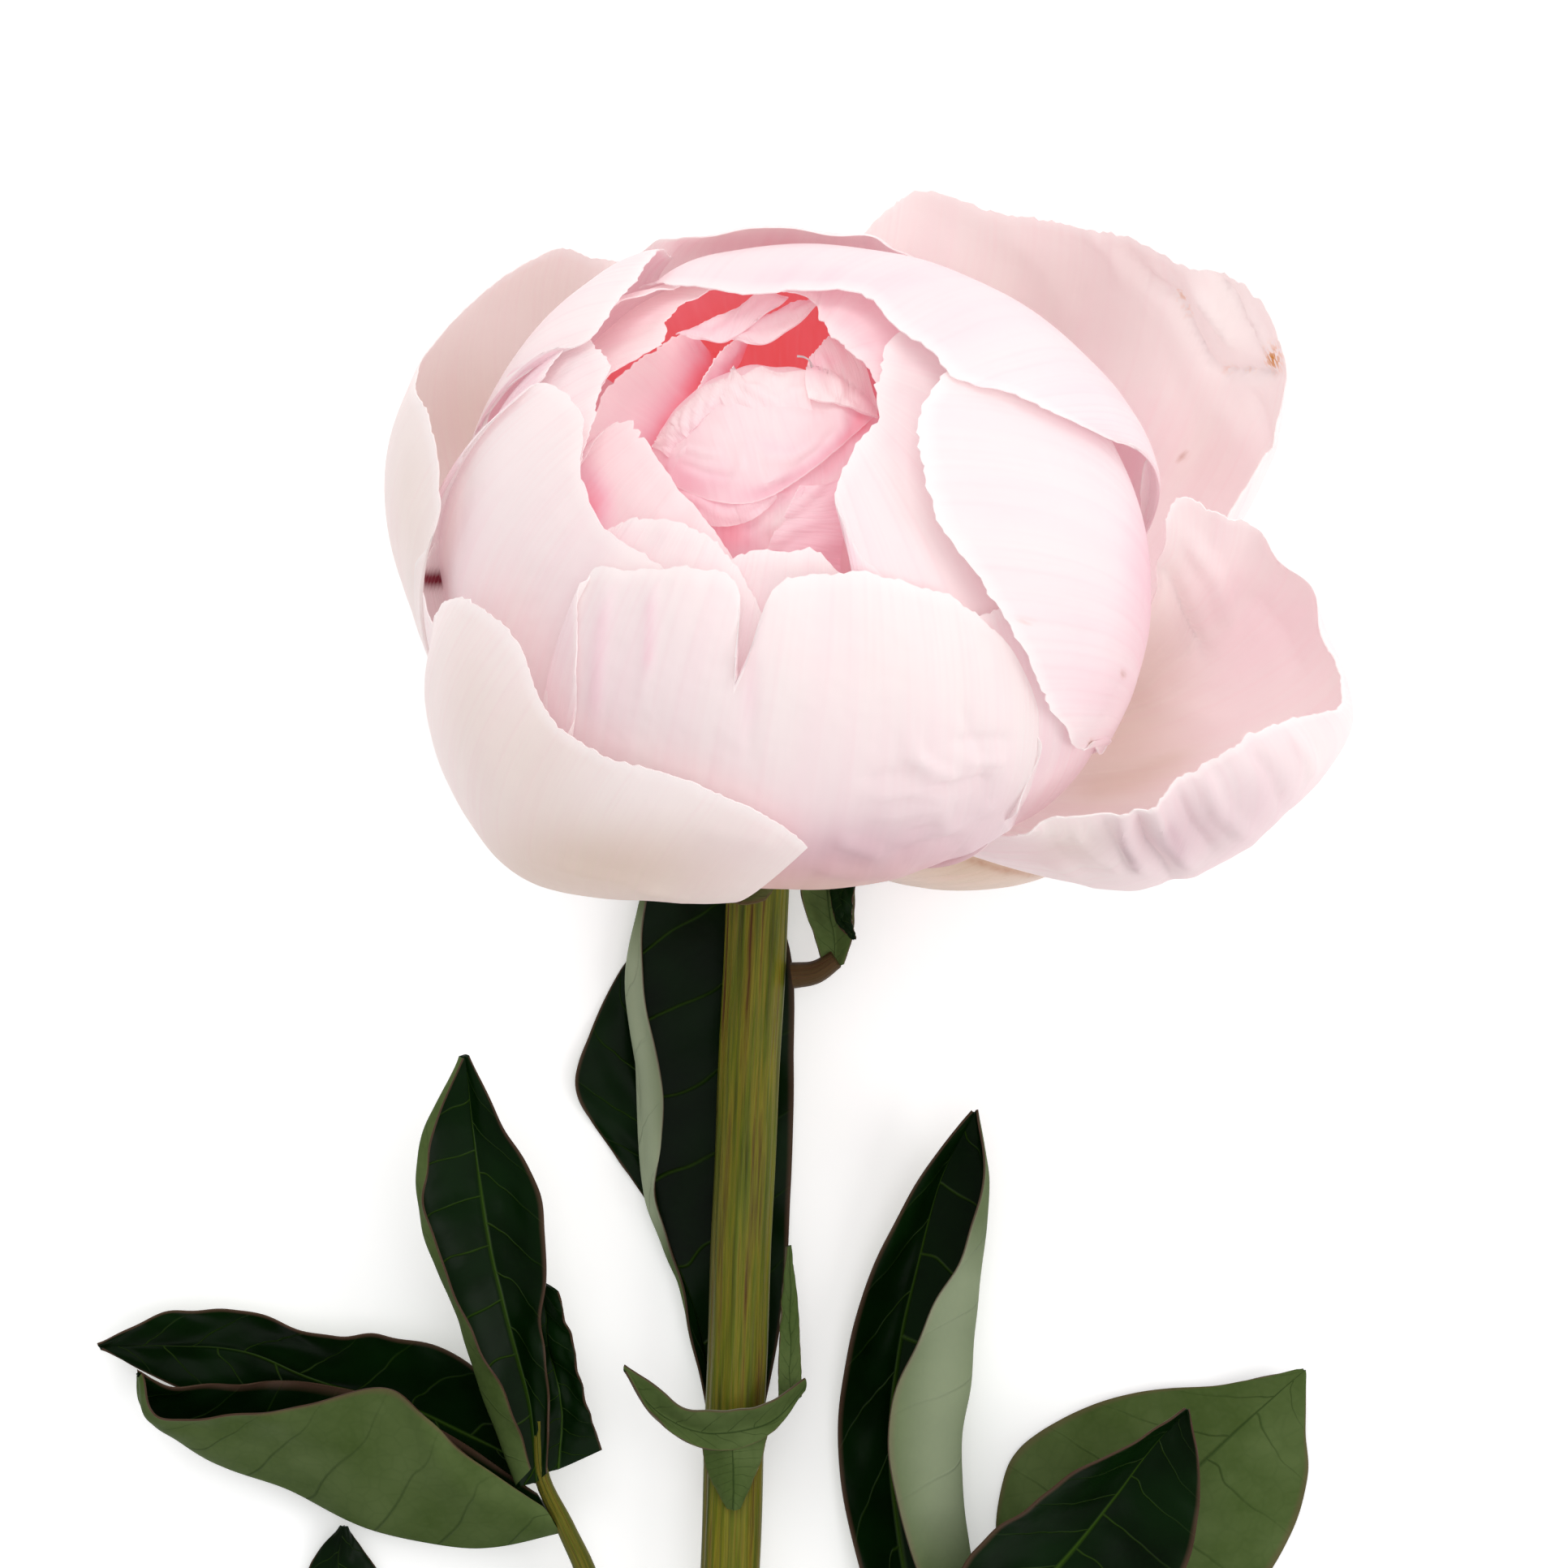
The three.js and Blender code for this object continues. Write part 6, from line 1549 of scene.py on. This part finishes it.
             (21.6, -122.4, 18.4), (18.6, -133, 14), (21.8, -147.4, 7.4)],
            [(48.4, -104.7, 14), (44.6, -108.6, 12.4), (40, -115, 10.8), (35.5, -120.4, 10),
             (30.5, -127, 9.4), (26.4, -136, 8.6), (22.8, -148, 7)],
            [(48.7, -104.6, 14.4), (49.9, -111.5, 14), (49.9, -117, 13), (48.4, -124, 11.6),
             (43, -132.6, 10), (34, -141, 8.6), (24, -148.8, 7.2)],
        ]},
    ],
}

# Leaf stalks: path, radii along it and how pink they are
STALKS = {
    "leaf_back": ([at(-7.4, -98, 1.2), at(-7.2, -108, 1.6), at(-7.4, -116, 2.2)], [0.9, 1.3, 1.6], 0.0),
    "leaf_neck": ([at(-0.2, -51.2, 7.8), at(2.6, -50.8, 8), at(5.2, -49.2, 8.6)], [1.7, 1.5, 1.2], 0.8),
    "leaf_left": ([
        at(-31.6, -106, 9.6), at(-31, -113, 8.8), at(-28, -119.4, 8), at(-25, -127, 7),
        at(-25.2, -146, 5.4),
        at(-20.4, -168, 5.4), at(-14.3, -175.6, 5.6),
    ], [0.8, 1.5, 1.6, 1.9], 0.1),
    "leaf_right": ([
        at(21.8, -138, 6.4), at(21.6, -148, 6.2), at(17.6, -162, 5.6), at(6, -183, 5.2),
        at(-4.6, -191.6, 5.2),
    ], [0.9, 1.9, 1.9, 2], 0.1),
}


STALK_CELLS = (32, 60)


def build_leaves():
    for number, (name, blades) in enumerate(LEAVES.items()):
        parts = [leaf_part(blade, 900 + 20 * number + 3 * k) for k, blade in enumerate(blades)]
        attach(sheet_mesh(name + "_fine", parts, [LEAF_TOP, LEAF_UNDER]), name)
        if name in STALKS:
            path, radii, pink = STALKS[name]
            rod = rod_block(path, radii, *STALK_CELLS, pink=pink)
            stalk = solid_mesh(name + "_stalk", [rod], STEM_SKIN)
            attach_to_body(stalk, "root")


build_leaves()


# Surface, light and camera

FLOOR_REACH = 6.0
FLOOR_GLOW = 0.28
WORLD_LIGHT = 0.58

# Lamps: name, place, where they point, size, power and tint
LAMPS = [
    ("key", (-0.1, 0.9, 0.95), (0, 0, 0.04), (1.0, 0.7), 5.2, (1.0, 1.0, 1.0)),
    ("fill", (0.2, 0.0, 1.4), (0, 0, 0.03), (1.2, 1.0), 4.1, (1.0, 1.0, 1.0)),
    ("side", (1.0, -0.3, 0.8), (0.02, 0, 0.04), (0.6, 0.6), 4.0, (1.0, 0.99, 0.98)),
]


def floor():
    """A plain pale surface under the flower."""
    n = Nodes("pale_surface")
    grain = n.noise(n.place(), 900.0, 2.0)
    shader = n.skin(n.mix(grain, colour(248, 248, 248), colour(250, 250, 250)), 0.9, 0.1)
    shader.inputs["Emission Color"].default_value = (1.0, 1.0, 1.0, 1.0)
    shader.inputs["Emission Strength"].default_value = FLOOR_GLOW
    mesh = bpy.data.meshes.new("surface")
    corners = [(x * FLOOR_REACH, y * FLOOR_REACH, 0) for x, y in ((-1, -1), (1, -1), (1, 1), (-1, 1))]
    mesh.from_pydata(corners, [], [(0, 1, 2, 3)])
    mesh.materials.append(n.done(shader))
    show("surface", mesh)


def area_light(name, place, target, size, power, tint):
    lamp = bpy.data.lights.new(name, "AREA")
    lamp.shape = "RECTANGLE"
    lamp.size, lamp.size_y = size
    lamp.energy = power
    lamp.color = tint
    piece = show(name, lamp)
    piece.location = place
    piece.rotation_euler = (Vector(target) - Vector(place)).to_track_quat("-Z", "Y").to_euler()


floor()
for lamp_values in LAMPS:
    area_light(*lamp_values)

world = bpy.data.worlds.new("studio")
world.use_nodes = True
backdrop = world.node_tree.nodes["Background"]
backdrop.inputs["Color"].default_value = (1.0, 1.0, 1.0, 1.0)
backdrop.inputs["Strength"].default_value = WORLD_LIGHT
bpy.context.scene.world = world
bpy.context.scene.view_settings.view_transform = "Standard"

CAMERA_SENSOR = 36.0
CAMERA_LENS = 177.8
CAMERA_FAR_END = 20
camera_data = bpy.data.cameras.new("camera")
camera_data.sensor_width = CAMERA_SENSOR
camera_data.lens = CAMERA_LENS
camera_data.clip_end = CAMERA_FAR_END
camera = show("camera", camera_data)
camera.location = EYE * MM
bpy.context.scene.camera = camera
